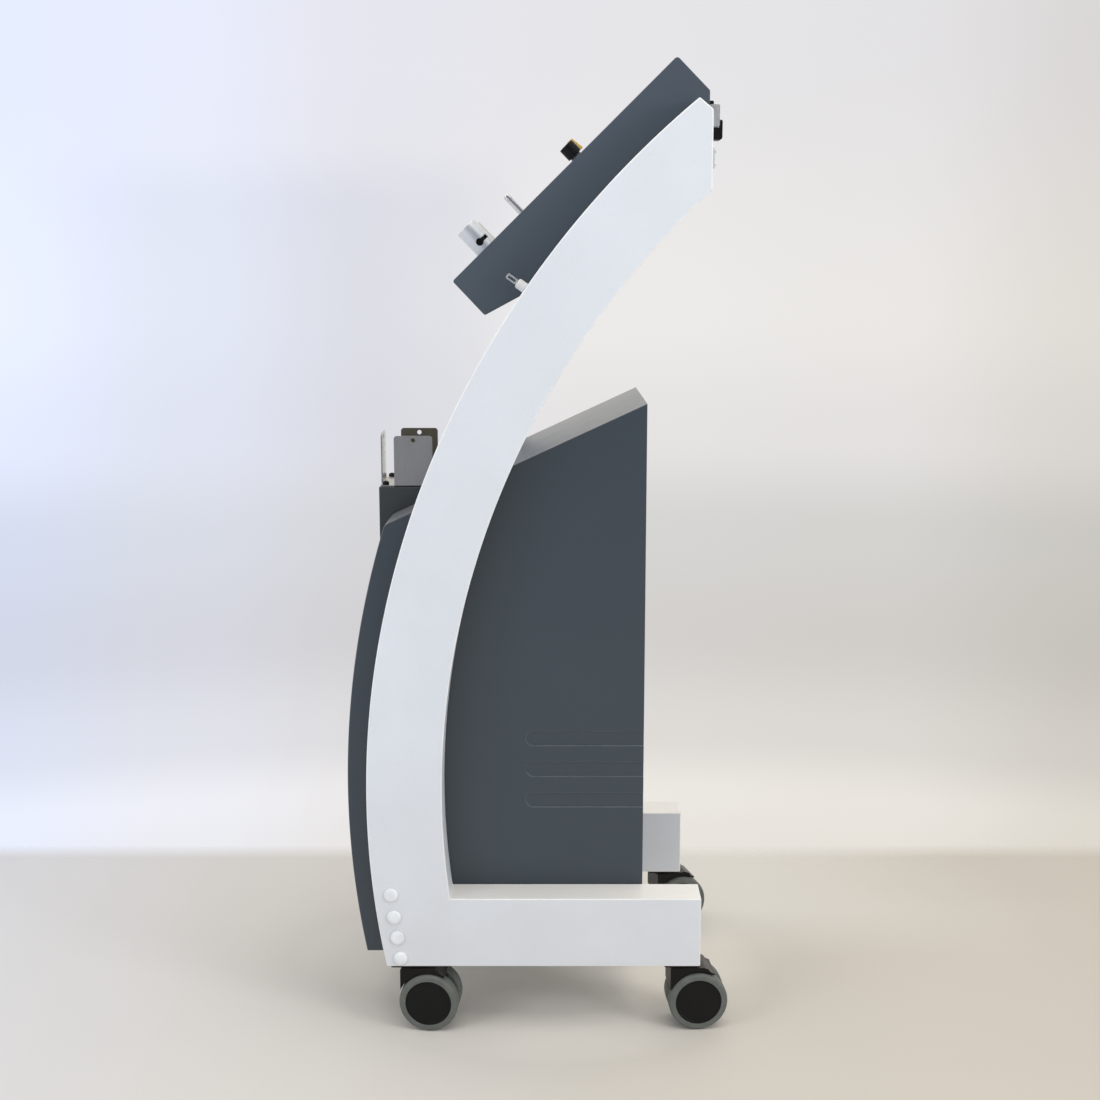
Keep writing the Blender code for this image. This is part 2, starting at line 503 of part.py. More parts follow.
for name, x, side, degrees, reverse in CASTORS:
    # screwed plate with a short stem, fixed to the leg
    ends = (-0.0190, 0.0262) if reverse else (-0.0262, 0.0190)
    mount = empty(name + "_mount", (x, side * CASTOR_Y, 0))
    plate = new_object(name + "_plate", box((ends[0], -0.0210, PLATE_LOW), (ends[1], 0.0210, LEG_BOTTOM - GAP)), BLACK, mount)
    cut(plate, new_object(name + "_stem", cylinder_between((0, 0, 0.0750), (0, 0, LEG_BOTTOM - 0.001), 0.0050, 20), parent=mount, helper=True), "UNION")
    swivel = empty(name + "_swivel", (x, side * CASTOR_Y, 0), (0, 0, math.radians(degrees)))
    fork = new_object(name + "_fork", prism(hood_outline, -HOOD_HALF, HOOD_HALF), BLACK, swivel)
    bevel(fork, 0.0012, 1, 60)
    cut(fork, new_object(name + "_web", prism(web_outline, -WEB_HALF, WEB_HALF), parent=swivel, helper=True), "UNION")
    cut(fork, new_object(name + "_axle", cylinder_between((TRAIL, -0.0210, WHEEL_R), (TRAIL, 0.0210, WHEEL_R), AXLE_R, 20), parent=swivel, helper=True), "UNION")
    cut(fork, new_object(name + "_bore", cylinder_between((0, 0, 0.0746), (0, 0, HOOD_TOP + 0.005), 0.0053, 20), parent=swivel, helper=True))
    axle = empty(name + "_wheels", (TRAIL, 0, WHEEL_R), parent=swivel)
    for k, w in ((-1, "a"), (1, "b")):
        spot = dict(location=(0, k * (WHEEL_OUT - WHEEL_W), 0), rotation=(k * -math.pi / 2, 0, 0))
        new_object("%s_tyre_%s" % (name, w), lathe(tyre_profile, 36), TYRE, axle, **spot)
        new_object("%s_hub_%s" % (name, w), lathe(hub_profile, 24), HUB, axle, **spot)
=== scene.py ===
"""The looks of the treatment console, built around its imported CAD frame."""
import math

import bmesh
import bpy
from mathutils import Matrix, Vector


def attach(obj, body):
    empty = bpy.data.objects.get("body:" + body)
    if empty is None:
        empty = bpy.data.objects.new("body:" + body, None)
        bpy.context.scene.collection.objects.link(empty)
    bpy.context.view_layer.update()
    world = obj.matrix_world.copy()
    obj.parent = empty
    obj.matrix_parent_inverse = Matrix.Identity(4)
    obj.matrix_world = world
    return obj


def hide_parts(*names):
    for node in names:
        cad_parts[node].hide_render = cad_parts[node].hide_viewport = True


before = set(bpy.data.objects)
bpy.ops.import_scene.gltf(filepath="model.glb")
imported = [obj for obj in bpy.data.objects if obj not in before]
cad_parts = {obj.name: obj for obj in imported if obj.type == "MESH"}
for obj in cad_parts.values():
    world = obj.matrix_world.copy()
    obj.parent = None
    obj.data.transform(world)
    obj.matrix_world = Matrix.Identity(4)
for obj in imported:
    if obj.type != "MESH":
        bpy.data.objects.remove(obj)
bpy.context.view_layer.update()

# ------------------------------------------------------------ dimensions (metres, the CAD's own frame)
GAP = 0.0003
FRAME_HALF, FRAME_T = 0.183, 0.050
INNER = FRAME_HALF - FRAME_T
FRONT_C, FRONT_R = (0.8792, 0.3035), 1.0930
REAR_C, REAR_R = (0.8790, 0.3100), 0.9990
TIP_X, TIP_TOP, TIP_CHAMFER_Z = 0.2016, (0.1876, 1.1480), 1.1346
LEG_TOP, LEG_BOTTOM, LEG_END = 0.1770, 0.0870, 0.2035
CAP_R, CAP_H = 0.0090, 0.0040
CAP_INSET, CAP_Z = (0.0217, 0.0215, 0.0213, 0.0199), (0.1824, 0.1529, 0.1258, 0.0981)
SIDE, SHEET, CAB_REAR = INNER - GAP, 0.0025, 0.1323
TOP_Z0, TOP_SLOPE = 0.7316, 0.462
COVER_C, COVER_R = (0.9012, 0.3012), 1.1441
COVER_BOTTOM, COVER_SHEET, COVER_DEPTH, COVER_SEAM_X, COVER_FILLET = 0.0856, 0.0020, 0.060, -0.135, 0.010
GROOVE_Z, GROOVE_H, GROOVE_X0, GROOVE_DEPTH = (0.3703, 0.3298, 0.2894), 0.0188, -0.0165, 0.0013
HEAD = ((-0.1032, 0.9395), (0.1628, 1.1995), (0.2018, 1.1605), (0.2016, 1.0417), (-0.0647, 0.8990))
HEAD_FILLET, HEAD_SHEET, PANEL_T = (0.003, 0.004, 0.003, 0.001, 0.003), 0.0025, 0.004
DISPLAY_S, DISPLAY_HALF = (0.238, 0.352), 0.086
KNOB_S, KNOB_Y, KNOB_R, KNOB_LOW, KNOB_HIGH = 0.2100, -0.085, 0.00975, 0.0042, 0.0203
SPIGOT_S, SPIGOT_R, SPIGOT_H = 0.1175, 0.00455, 0.0329
CUP_S, CUP_Y, CUP_R, CUP_H, CUP_BORE = 0.0550, 0.070, 0.0143, 0.0369, 0.0117
EYE_Z, COLLAR_R, COLLAR_H = 0.9315, 0.00615, 0.0117
LOOP_W, LOOP_T, LOOP_END = 0.0068, 0.0034, 0.0263
LATCH_Y, LATCH_PIVOT = -0.115, (0.2095, 1.1375)
BOX_FRONT, BOX_TOP, BOX_HALF = -0.2047, 0.6795, 0.0520
CRADLE_T, CRADLE_X, CRADLE_HALF, CRADLE_TOP, TAB_HALF, TAB_X = 0.0015, (-0.2043, -0.1157), 0.0515, 0.7447, 0.0245, -0.1605
WHEEL_R, WHEEL_W, WHEEL_OUT, HUB_R, TRAIL, CASTOR_Y = 0.0375, 0.0185, 0.0255, 0.0288, 0.0234, 0.158
CASTORS = (
    ("castor_front_left", -0.1617, -1, -5.0, False),
    ("castor_front_right", -0.1617, 1, -9.0, False),
    ("castor_rear_left", 0.1773, -1, 4.4, True),
    ("castor_rear_right", 0.1773, 1, 16.0, True),
)
REAR_X, INLET_Y, INLET_Z = 0.1280, 0.060, 0.150

SCENE = bpy.context.scene.collection


# ------------------------------------------------------------ node helpers
class Nodes:
    """A material under construction: n() adds a node, link() joins sockets."""

    def __init__(self, name):
        self.mat = bpy.data.materials.new(name)
        self.mat.use_nodes = True
        self.tree = self.mat.node_tree
        self.bsdf = self.tree.nodes["Principled BSDF"]
        self.coord = self.n("ShaderNodeTexCoord").outputs["Object"]

    def n(self, kind, **settings):
        node = self.tree.nodes.new(kind)
        for key, value in settings.items():
            setattr(node, key, value)
        return node

    def link(self, a, b):
        self.tree.links.new(a, b)

    def mapped(self, scale=(1, 1, 1), rotation=(0, 0, 0), location=(0, 0, 0)):
        m = self.n("ShaderNodeMapping")
        m.inputs["Scale"].default_value = scale
        m.inputs["Rotation"].default_value = rotation
        m.inputs["Location"].default_value = location
        self.link(self.coord, m.inputs["Vector"])
        return m.outputs["Vector"]

    def noise(self, scale, detail=2.0, rough=0.5, vector=None, distortion=0.0):
        t = self.n("ShaderNodeTexNoise")
        t.inputs["Scale"].default_value = scale
        t.inputs["Detail"].default_value = detail
        t.inputs["Roughness"].default_value = rough
        t.inputs["Distortion"].default_value = distortion
        self.link(vector or self.coord, t.inputs["Vector"])
        return t.outputs["Fac"]

    def ramp(self, fac, stops, interpolation="LINEAR"):
        r = self.n("ShaderNodeValToRGB")
        r.color_ramp.interpolation = interpolation
        e = r.color_ramp.elements
        while len(e) < len(stops):
            e.new(0.5)
        for el, (pos, col) in zip(e, stops):
            el.position = pos
            el.color = (*col, 1) if len(col) == 3 else col
        self.link(fac, r.inputs["Fac"])
        return r.outputs["Color"]

    def span(self, fac, lo, hi, from_lo=0.0, from_hi=1.0):
        m = self.n("ShaderNodeMapRange")
        m.inputs["From Min"].default_value = from_lo
        m.inputs["From Max"].default_value = from_hi
        m.inputs["To Min"].default_value = lo
        m.inputs["To Max"].default_value = hi
        self.link(fac, m.inputs["Value"])
        return m.outputs["Result"]

    def math(self, op, a, b):
        m = self.n("ShaderNodeMath", operation=op)
        for k, v in enumerate((a, b)):
            if isinstance(v, (int, float)):
                m.inputs[k].default_value = v
            else:
                self.link(v, m.inputs[k])
        return m.outputs["Value"]

    def mix(self, fac, a, b, mode="MIX"):
        m = self.n("ShaderNodeMix", data_type="RGBA", blend_type=mode)
        for socket, v in ((m.inputs[0], fac), (m.inputs[6], a), (m.inputs[7], b)):
            if isinstance(v, (int, float)):
                socket.default_value = v
            elif isinstance(v, tuple):
                socket.default_value = (*v, 1)
            else:
                self.link(v, socket)
        return m.outputs[2]

    def bump(self, height, strength, distance, normal=None):
        b = self.n("ShaderNodeBump")
        b.inputs["Strength"].default_value = strength
        b.inputs["Distance"].default_value = distance
        self.link(height, b.inputs["Height"])
        if normal is not None:
            self.link(normal, b.inputs["Normal"])
        return b.outputs["Normal"]

    def out(self, color=None, rough=None, normal=None, metallic=0.0, **sockets):
        for socket, v in (("Base Color", color), ("Roughness", rough), ("Normal", normal)):
            if v is None:
                continue
            if isinstance(v, tuple):
                self.bsdf.inputs[socket].default_value = (*v, 1)
            elif isinstance(v, (int, float)):
                self.bsdf.inputs[socket].default_value = v
            else:
                self.link(v, self.bsdf.inputs[socket])
        self.bsdf.inputs["Metallic"].default_value = metallic
        for key, v in sockets.items():
            self.bsdf.inputs[key.replace("_", " ")].default_value = v
        return self.mat


def srgb(r, g, b):
    return tuple((c / 255 / 12.92) if c / 255 <= 0.04045 else ((c / 255 + 0.055) / 1.055) ** 2.4 for c in (r, g, b))


def powder_coat(name, rgb, rough, peel, edge=None, low_shade_tint=None, mottle=1.0, coat=(0.06, 0.35), dust_and_top_light=0.0, dust_and_top_light_rgb=(0.335, 0.335, 0.345), painted_corner_shade=None):
    """Sprayed powder: orange peel and faint mottling, plus painted light: painted shade in corners, a painted highlight
    on the bevel faces, a painted top light mixed with dust on upward faces, and painted shade low down.
    """
    m = Nodes(name)
    peel_n = m.noise(950, 3.0, 0.55)
    fine = m.noise(4200, 1.0, 0.5)
    cloud = m.noise(7.5, 4.0, 0.6)
    smear = m.noise(34, 5.0, 0.65, m.mapped((1, 1, 0.35)))
    tone = m.mix(m.span(cloud, 0.0, 1.0, 0.35, 0.68), tuple(c * 0.975 for c in rgb), tuple(min(1, c * 1.02) for c in rgb))
    tone = m.mix(m.span(smear, 0.0, 0.10 * mottle, 0.56, 0.76), tone, tuple(min(1, c * 0.90 + 0.012) for c in rgb))
    specks = m.noise(620, 0.0, 0.5)
    tone = m.mix(m.span(specks, 0.0, 0.16, 0.755, 0.82), tone, tuple(c * 0.62 + 0.01 for c in rgb))
    # painted shade: ambient occlusion darkens corners and the step beside the frame, standing in for the frame's cast
    # shadow
    if painted_corner_shade:
        ao = m.n("ShaderNodeAmbientOcclusion", samples=8)
        ao.inputs["Distance"].default_value = painted_corner_shade[0]
        tone = m.mix(m.span(ao.outputs["AO"], painted_corner_shade[1], 0.0, 0.35, 0.97), tone, tuple(c * 0.22 + 0.002 for c in rgb))
    # painted highlight: the bevel faces take a lighter colour, broken up by noise
    if edge:
        tone = m.mix(m.math("MULTIPLY", m.span(m.noise(60, 3.0), 0.55, 1.0, 0.35, 0.65), edge[1]), tone, edge[0])
    # painted light mixed with dust: upward faces lighten toward a top colour that stands in for top light and sheen
    if dust_and_top_light:
        up = m.n("ShaderNodeSeparateXYZ")
        m.link(m.n("ShaderNodeNewGeometry").outputs["True Normal"], up.inputs["Vector"])
        upward_light_and_dust = m.math("MULTIPLY", m.span(up.outputs["Z"], 0.0, dust_and_top_light, 0.80, 0.90), m.span(m.noise(21, 5.0, 0.7), 0.8, 1.15, 0.3, 0.7))
        tone = m.mix(upward_light_and_dust, tone, dust_and_top_light_rgb)
    # painted shade: darker and warmer towards the bottom, standing in for the warm floor bounce
    if low_shade_tint:
        z = m.n("ShaderNodeSeparateXYZ")
        m.link(m.coord, z.inputs["Vector"])
        low = m.math("MULTIPLY", m.span(z.outputs["Z"], 0.50, 0.0, 0.08, 0.40), m.span(m.noise(11, 3.0), 0.5, 1.0, 0.3, 0.7))
        tone = m.mix(low, tone, low_shade_tint)
    r = m.math("ADD", m.span(smear, rough - 0.035 * mottle, rough + 0.055 * mottle, 0.35, 0.75), m.span(fine, -0.02, 0.02))
    normal = m.bump(peel_n, peel, 0.0004, m.bump(fine, peel * 0.5, 0.0001))
    return m.out(tone, r, normal, Coat_Weight=coat[0], Coat_Roughness=coat[1])


def moulded(name, rgb, rough, grain=2300, depth=0.16, dust_and_top_light=0.10, dust_and_top_light_rgb=(0.30, 0.29, 0.27), spec=0.5, upward_light_and_dust=None):
    """Moulded plastic with a fine spark-eroded grain and a little dust."""
    m = Nodes(name)
    g = m.noise(grain, 2.0, 0.6)
    g2 = m.noise(grain * 0.31, 3.0, 0.6)
    cloud = m.noise(26, 4.0, 0.6)
    tone = m.mix(m.span(cloud, 0.0, 1.0, 0.35, 0.7), tuple(c * 0.85 for c in rgb), tuple(c * 1.12 for c in rgb))
    tone = m.mix(m.span(m.noise(180, 5.0, 0.7), 0.0, dust_and_top_light, 0.5, 0.8), tone, dust_and_top_light_rgb)
    # painted sheen: upward faces take a lighter tint standing in for the sheen of the top light
    if upward_light_and_dust:
        up = m.n("ShaderNodeSeparateXYZ")
        m.link(m.n("ShaderNodeNewGeometry").outputs["True Normal"], up.inputs["Vector"])
        tone = m.mix(m.math("MULTIPLY", m.span(up.outputs["Z"], 0.0, 1.0, 0.10, 0.75), m.span(m.noise(60, 4.0, 0.6), 0.6, 1.0, 0.3, 0.7)), tone, upward_light_and_dust)
    r = m.math("ADD", m.span(cloud, rough - 0.05, rough + 0.07, 0.3, 0.7), m.span(g, -0.03, 0.03))
    return m.out(tone, r, m.bump(g, depth, 0.0002, m.bump(g2, depth * 0.6, 0.0003)), Specular_IOR_Level=spec)


def rubber(name, rgb):
    m = Nodes(name)
    g = m.noise(1500, 3.0, 0.6)
    cloud = m.noise(55, 4.0, 0.65)
    scuff = m.noise(330, 5.0, 0.7, m.mapped((1, 1, 0.6)))
    tone = m.mix(m.span(cloud, 0.0, 1.0, 0.35, 0.7), tuple(c * 0.88 for c in rgb), tuple(c * 1.10 for c in rgb))
    tone = m.mix(m.span(scuff, 0.0, 0.30, 0.56, 0.75), tone, (0.26, 0.25, 0.22))
    r = m.span(scuff, 0.56, 0.76, 0.35, 0.75)
    return m.out(tone, r, m.bump(g, 0.22, 0.0002, m.bump(scuff, 0.16, 0.0003)), Specular_IOR_Level=0.4)


def brushed(name, rgb, rough, stretch, scale=900, aniso=0.55, rotation=(0, 0, 0)):
    """Metal with fine lines along the axis where stretch is small."""
    m = Nodes(name)
    v = m.mapped(stretch, rotation)
    lines = m.noise(scale, 3.0, 0.65, v)
    broad = m.noise(scale * 0.12, 3.0, 0.6, v)
    smudge = m.noise(48, 4.0, 0.6)
    tone = m.mix(m.span(lines, 0.0, 1.0, 0.3, 0.7), tuple(c * 0.93 for c in rgb), tuple(min(1, c * 1.05) for c in rgb))
    tone = m.mix(m.span(smudge, 0.0, 0.20, 0.45, 0.75), tone, tuple(c * 0.76 for c in rgb))
    r = m.math("ADD", m.span(lines, rough - 0.05, rough + 0.07, 0.3, 0.7), m.span(broad, -0.03, 0.03, 0.3, 0.7))
    return m.out(tone, r, m.bump(lines, 0.10, 0.0001), metallic=1.0, Anisotropic=aniso)


def polished(name, rgb, rough):
    m = Nodes(name)
    smudge = m.noise(130, 4.0, 0.6)
    fine = m.noise(2600, 2.0, 0.5)
    tone = m.mix(m.span(smudge, 0.0, 0.5, 0.45, 0.8), rgb, tuple(c * 0.82 for c in rgb))
    return m.out(tone, m.span(smudge, rough, rough + 0.10, 0.4, 0.75), m.bump(fine, 0.02, 0.0001), metallic=1.0)


def turned(name, rgb, rough, tilt, metallic=1.0):
    """Lathe-turned aluminium: fine rings round an axis tilted about Y."""
    m = Nodes(name)
    v = m.mapped((1, 1, 1), (0, tilt, 0))
    w = m.n("ShaderNodeTexWave", wave_type="BANDS", bands_direction="Z", wave_profile="SIN")
    w.inputs["Scale"].default_value = 240
    w.inputs["Distortion"].default_value = 0.2
    w.inputs["Detail"].default_value = 2
    m.link(v, w.inputs["Vector"])
    rings = w.outputs["Fac"]
    cloud = m.noise(70, 4.0, 0.6)
    tone = m.mix(m.span(cloud, 0.0, 1.0, 0.35, 0.7), tuple(c * 0.92 for c in rgb), rgb)
    tone = m.mix(m.math("MULTIPLY", rings, 0.06), tone, tuple(c * 0.75 for c in rgb))
    r = m.math("ADD", m.span(cloud, rough - 0.03, rough + 0.06, 0.35, 0.7), m.math("MULTIPLY", rings, 0.04))
    return m.out(tone, r, m.bump(m.noise(900, 2.0), 0.02, 0.00004), metallic=metallic)


def gloss_black(name):
    m = Nodes(name)
    smudge = m.noise(38, 5.0, 0.65, m.mapped((1, 1, 1), (0, 0.7, 0.3)))
    dust_and_top_light = m.noise(900, 1.0)
    tone = m.mix(m.span(smudge, 0.0, 0.25, 0.5, 0.8), (0.010, 0.011, 0.013), (0.030, 0.031, 0.034))
    tone = m.mix(m.span(dust_and_top_light, 0.0, 0.25, 0.74, 0.82), tone, (0.20, 0.20, 0.19))
    return m.out(tone, m.span(smudge, 0.08, 0.22, 0.4, 0.8), m.bump(smudge, 0.01, 0.001), Specular_IOR_Level=0.3)


TILT = math.atan2(HEAD[1][1] - HEAD[0][1], HEAD[1][0] - HEAD[0][0])
# painted light: the white coat's upward faces go a warm near-white as a painted top light, and its low parts take
# painted shade
WHITE_LOOK = dict(rgb=(0.784, 0.824, 0.872), rough=0.40, peel=0.10, low_shade_tint=(0.65, 0.64, 0.62), dust_and_top_light=0.85, dust_and_top_light_rgb=(0.97, 0.93, 0.86))
# the slate coats paint shade into corners through ambient occlusion
SLATE_LOOK = dict(painted_corner_shade=(0.045, 0.42), rgb=(0.036, 0.053, 0.070), rough=0.42, peel=0.12, mottle=0.5, coat=(0.30, 0.16))
# painted light: the head's coat is the slate coat made lighter, standing in for the stronger light on the head
HEAD_LIT_LOOK = dict(painted_corner_shade=(0.045, 0.42), rgb=(0.064, 0.084, 0.108), rough=0.42, peel=0.12, mottle=0.4, coat=(0.25, 0.2))
CHARCOAL_LOOK = dict(rgb=(0.036, 0.045, 0.049), rough=0.46, peel=0.14, mottle=0.5, coat=(0.2, 0.2))
WHITE = [powder_coat("white_powder_coat_fine", **WHITE_LOOK), powder_coat("white_powder_coat_painted_highlight", edge=((0.97, 0.97, 0.96), 0.95), **WHITE_LOOK)]
SLATE = [powder_coat("slate_powder_coat_fine", dust_and_top_light=0.42, **SLATE_LOOK), powder_coat("slate_powder_coat_painted_highlight", edge=((0.115, 0.13, 0.15), 0.7), **SLATE_LOOK)]
HEAD_LIT_COAT = [powder_coat("head_lit_powder_coat_fine", **HEAD_LIT_LOOK), powder_coat("head_lit_powder_coat_painted_highlight", edge=((0.16, 0.18, 0.20), 0.7), **HEAD_LIT_LOOK)]
CHARCOAL = [powder_coat("charcoal_coat_fine", **CHARCOAL_LOOK), powder_coat("charcoal_coat_painted_highlight", edge=((0.09, 0.10, 0.12), 0.7), **CHARCOAL_LOOK)]
BRUSHED_V = brushed("brushed_stainless_fine", (0.42, 0.42, 0.43), 0.38, (1, 1, 0.035))
BRUSHED_H = brushed("brushed_stainless_floor", (0.46, 0.45, 0.43), 0.30, (1, 0.035, 1))
# painted light: lit and shaded copies of the brushed stainless for the cradle's tab faces
BRUSHED_LIT = brushed("brushed_stainless_painted_lit", (0.80, 0.795, 0.78), 0.26, (1, 1, 0.035))
BRUSHED_SHADE = brushed("brushed_stainless_shade", (0.20, 0.180, 0.140), 0.42, (1, 1, 0.035))
ALU = turned("turned_aluminium_fine", (0.84, 0.87, 0.91), 0.38, TILT, 0.75)
# painted shade: a darker, warmer copy of the turned aluminium for the right-hand sleeve
ALU_FAR_SHADED = turned("turned_aluminium_painted_shade", (0.70, 0.69, 0.67), 0.42, TILT, 0.8)
LOOP = polished("bright_wire_fine", (0.93, 0.93, 0.90), 0.24)
CHROME = polished("chrome_fine", (0.80, 0.80, 0.80), 0.06)
ZINC = brushed("zinc_plate_fine", (0.82, 0.82, 0.81), 0.38, (1, 1, 0.2), 700, 0.2)
BLACK = moulded("black_plastic_fine", (0.0040, 0.0039, 0.0050), 0.42, dust_and_top_light=0.03, spec=0.24)
CAP_WHITE = moulded("cap_plastic_fine", (0.86, 0.885, 0.90), 0.34, 2200, 0.06, 0.04, (0.62, 0.62, 0.60))
PLATE_GREY = moulded("plate_plastic_fine", (0.60, 0.66, 0.74), 0.36, 2200, 0.06, 0.05, (0.42, 0.44, 0.48))
# the castor plastic's last colour is a painted sheen on the upward faces of the hood
FORK = moulded("castor_plastic_fine", (0.0034, 0.0030, 0.0028), 0.36, 1700, 0.12, 0.03, (0.06, 0.054, 0.046), 0.24, (0.040, 0.034, 0.027))
HUB = moulded("hub_plastic_fine", (0.0055, 0.0055, 0.0055), 0.50, 1900, 0.10, 0.03, (0.05, 0.05, 0.048), 0.22)
YELLOW = moulded("yellow_plastic_fine", (0.98, 0.60, 0.07), 0.36, 2000, 0.08, 0.04)
CREAM = moulded("white_plastic_fine", (0.79, 0.785, 0.765), 0.36, 2200, 0.06, 0.05, (0.60, 0.58, 0.54))
GLASS = gloss_black("display_glass_fine")
TYRE = rubber("grey_tyre_fine", (0.128, 0.138, 0.122))
DARK = moulded("shadow_gap_black", (0.006, 0.006, 0.006), 0.8, 1500, 0.1, 0.02)


# ------------------------------------------------------------ mesh helpers
def add_prism(bm, pts, y0, y1):
    face = bm.faces.new([bm.verts.new((x, y0, z)) for x, z in pts])
    out = bmesh.ops.extrude_face_region(bm, geom=[face])
    moved = [g for g in out["geom"] if isinstance(g, bmesh.types.BMVert)]
    bmesh.ops.translate(bm, verts=moved, vec=(0, y1 - y0, 0))
    return bm


def prism(pts, y0, y1):
    return add_prism(bmesh.new(), pts, y0, y1)


def add_box(bm, lo, hi):
    m = Matrix.Translation([(a + b) / 2 for a, b in zip(lo, hi)]) @ Matrix.Diagonal([b - a for a, b in zip(lo, hi)] + [1])
    bmesh.ops.create_cube(bm, size=1.0, matrix=m)
    return bm


def box(lo, hi):
    return add_box(bmesh.new(), lo, hi)


def lathe(profile, segments=64):
    bm = bmesh.new()
    rings = []
    for r, h in profile:
        if r < 1e-7:
            rings.append([bm.verts.new((0, 0, h))])
        else:
            rings.append([
                bm.verts.new((r * math.cos(2 * math.pi * k / segments), r * math.sin(2 * math.pi * k / segments), h))
                for k in range(segments)
            ])
    pairs = list(zip(rings, rings[1:]))
    if len(rings[0]) > 1:
        pairs.append((rings[-1], rings[0]))
    for a, b in pairs:
        for k in range(segments):
            j = (k + 1) % segments
            if len(a) == 1:
                bm.faces.new((a[0], b[k], b[j]))
            elif len(b) == 1:
                bm.faces.new((a[k], a[j], b[0]))
            else:
                bm.faces.new((a[k], a[j], b[j], b[k]))
    return bm


def smooth_profile(points, radii, n=5):
    """Rounds the inner corners of an open profile of (r, h) points."""
    out = [points[0]]
    for i in range(1, len(points) - 1):
        out += corner(points[i - 1], points[i], points[i + 1], radii[i], n)
    return out + [points[-1]]


def cylinder_between(p, q, r, segments=48):
    p, q = Vector(p), Vector(q)
    turn = (q - p).to_track_quat("Z", "Y").to_matrix().to_4x4()
    bm = bmesh.new()
    bmesh.ops.create_cone(bm, cap_ends=True, segments=segments, radius1=r, radius2=r, depth=(q - p).length,
                          matrix=Matrix.Translation((p + q) / 2) @ turn)
    return bm


def arc(center, r, z0, z1, n):
    a0, a1 = math.asin((z0 - center[1]) / r), math.asin((z1 - center[1]) / r)
    return [(center[0] - r * math.cos(a0 + (a1 - a0) * k / n), center[1] + r * math.sin(a0 + (a1 - a0) * k / n))
            for k in range(n + 1)]


def arc_x(center, r, z):
    return center[0] - math.sqrt(r * r - (z - center[1]) ** 2)


def corner(a, b, c, r, n):
    a, b, c = Vector(a), Vector(b), Vector(c)
    if r <= 0:
        return [tuple(b)]
    u, v = (a - b).normalized(), (c - b).normalized()
    half = u.angle(v) / 2
    mid = b + (u + v).normalized() * (r / math.sin(half))
    s0 = (b + u * (r / math.tan(half)) - mid).normalized()
    e0 = (b + v * (r / math.tan(half)) - mid).normalized()
    return [tuple(mid + s0.slerp(e0, k / n) * r) for k in range(n + 1)]


def fillet(pts, radii, n=8):
    out = []
    for i, p in enumerate(pts):
        out += corner(pts[i - 1], p, pts[(i + 1) % len(pts)], radii[i], n)
    return out


def rounded_rect(x0, z0, x1, z1, r, n=8, corners=(1, 1, 1, 1)):
    return fillet([(x0, z0), (x1, z0), (x1, z1), (x0, z1)], [r * c for c in corners], n)


def inset(pts, dists):
    area = sum(a[0] * b[1] - b[0] * a[1] for a, b in zip(pts, pts[1:] + pts[:1]))
    turn = 1 if area > 0 else -1
    lines = []
    for i, d in enumerate(dists):
        a, b = Vector(pts[i]), Vector(pts[(i + 1) % len(pts)])
        t = (b - a).normalized()
        lines.append((a + Vector((-t.y, t.x)) * turn * d, t))
    out = []
    for i in range(len(pts)):
        (p, t), (q, s) = lines[i - 1], lines[i]
        k = ((q - p).x * s.y - (q - p).y * s.x) / (t.x * s.y - t.y * s.x)
        out.append(tuple(p + t * k))
    return out


def top_z(x):
    return TOP_Z0 + TOP_SLOPE * x


def line_meets_arc(z0, center, r):
    k, c = TOP_SLOPE, z0 - center[1]
    a, b, d = 1 + k * k, 2 * (k * c - center[0]), center[0] ** 2 + c * c - r * r
    x = (-b - math.sqrt(b * b - 4 * a * d)) / (2 * a)
    return x, z0 + k * x


def raw(name, bm, matrix=None):
    bmesh.ops.recalc_face_normals(bm, faces=bm.faces)
    if matrix is not None:
        bm.transform(matrix)
    mesh = bpy.data.meshes.new(name)
    bm.to_mesh(mesh)
    bm.free()
    ob = bpy.data.objects.new(name, mesh)
    SCENE.objects.link(ob)
    return ob


def piece(name, bm, mat, body, nodes=(), cuts=(), joins=(), matrix=None, edge=None, angle=32, weld=5e-7):
    """Makes a finished piece: cuts and joins it, rounds its edges, applies all that and rides it on its body."""
    ob = raw(name, bm, matrix)
    mats = list(mat) if isinstance(mat, (list, tuple)) else [mat]
    for material in mats:
        ob.data.materials.append(material)
    helpers = []
    for operation, group in (("UNION", joins), ("DIFFERENCE", cuts)):
        for k, b in enumerate(group):
            h = raw("%s_%s_%d" % (name, operation.lower(), k), b, matrix)
            m = ob.modifiers.new(operation.lower(), "BOOLEAN")
            m.operation, m.solver, m.object = operation, "EXACT", h
            helpers.append(h)
    if edge:
        m = ob.modifiers.new("edge", "BEVEL")
        m.width, m.segments = edge[0], edge[1]
        m.limit_method, m.angle_limit = "ANGLE", math.radians(edge[2] if len(edge) > 2 else 40)
        m.use_clamp_overlap, m.miter_outer = True, "MITER_ARC"
        # bevel faces take the second material, the copy with the painted edge highlight
        if len(mats) == 2:
            m.material = 1
    bpy.context.view_layer.update()
    dg = bpy.context.evaluated_depsgraph_get()
    mesh = bpy.data.meshes.new_from_object(ob.evaluated_get(dg))
    ob.modifiers.clear()
    clean = bmesh.new()
    clean.from_mesh(mesh)
    bmesh.ops.remove_doubles(clean, verts=clean.verts, dist=weld)
    bmesh.ops.dissolve_degenerate(clean, edges=clean.edges, dist=weld)
    clean.to_mesh(mesh)
    clean.free()
    mesh.validate()
    ob.data = mesh
    mesh.name = name
    for h in helpers:
        bpy.data.objects.remove(h, do_unlink=True)
    mesh.shade_smooth()
    mesh.set_sharp_from_angle(angle=math.radians(angle))
    wn = ob.modifiers.new("weighted", "WEIGHTED_NORMAL")
    wn.keep_sharp, wn.weight = True, 60
    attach(ob, body)
    if nodes:
        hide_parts(*nodes)
    return ob


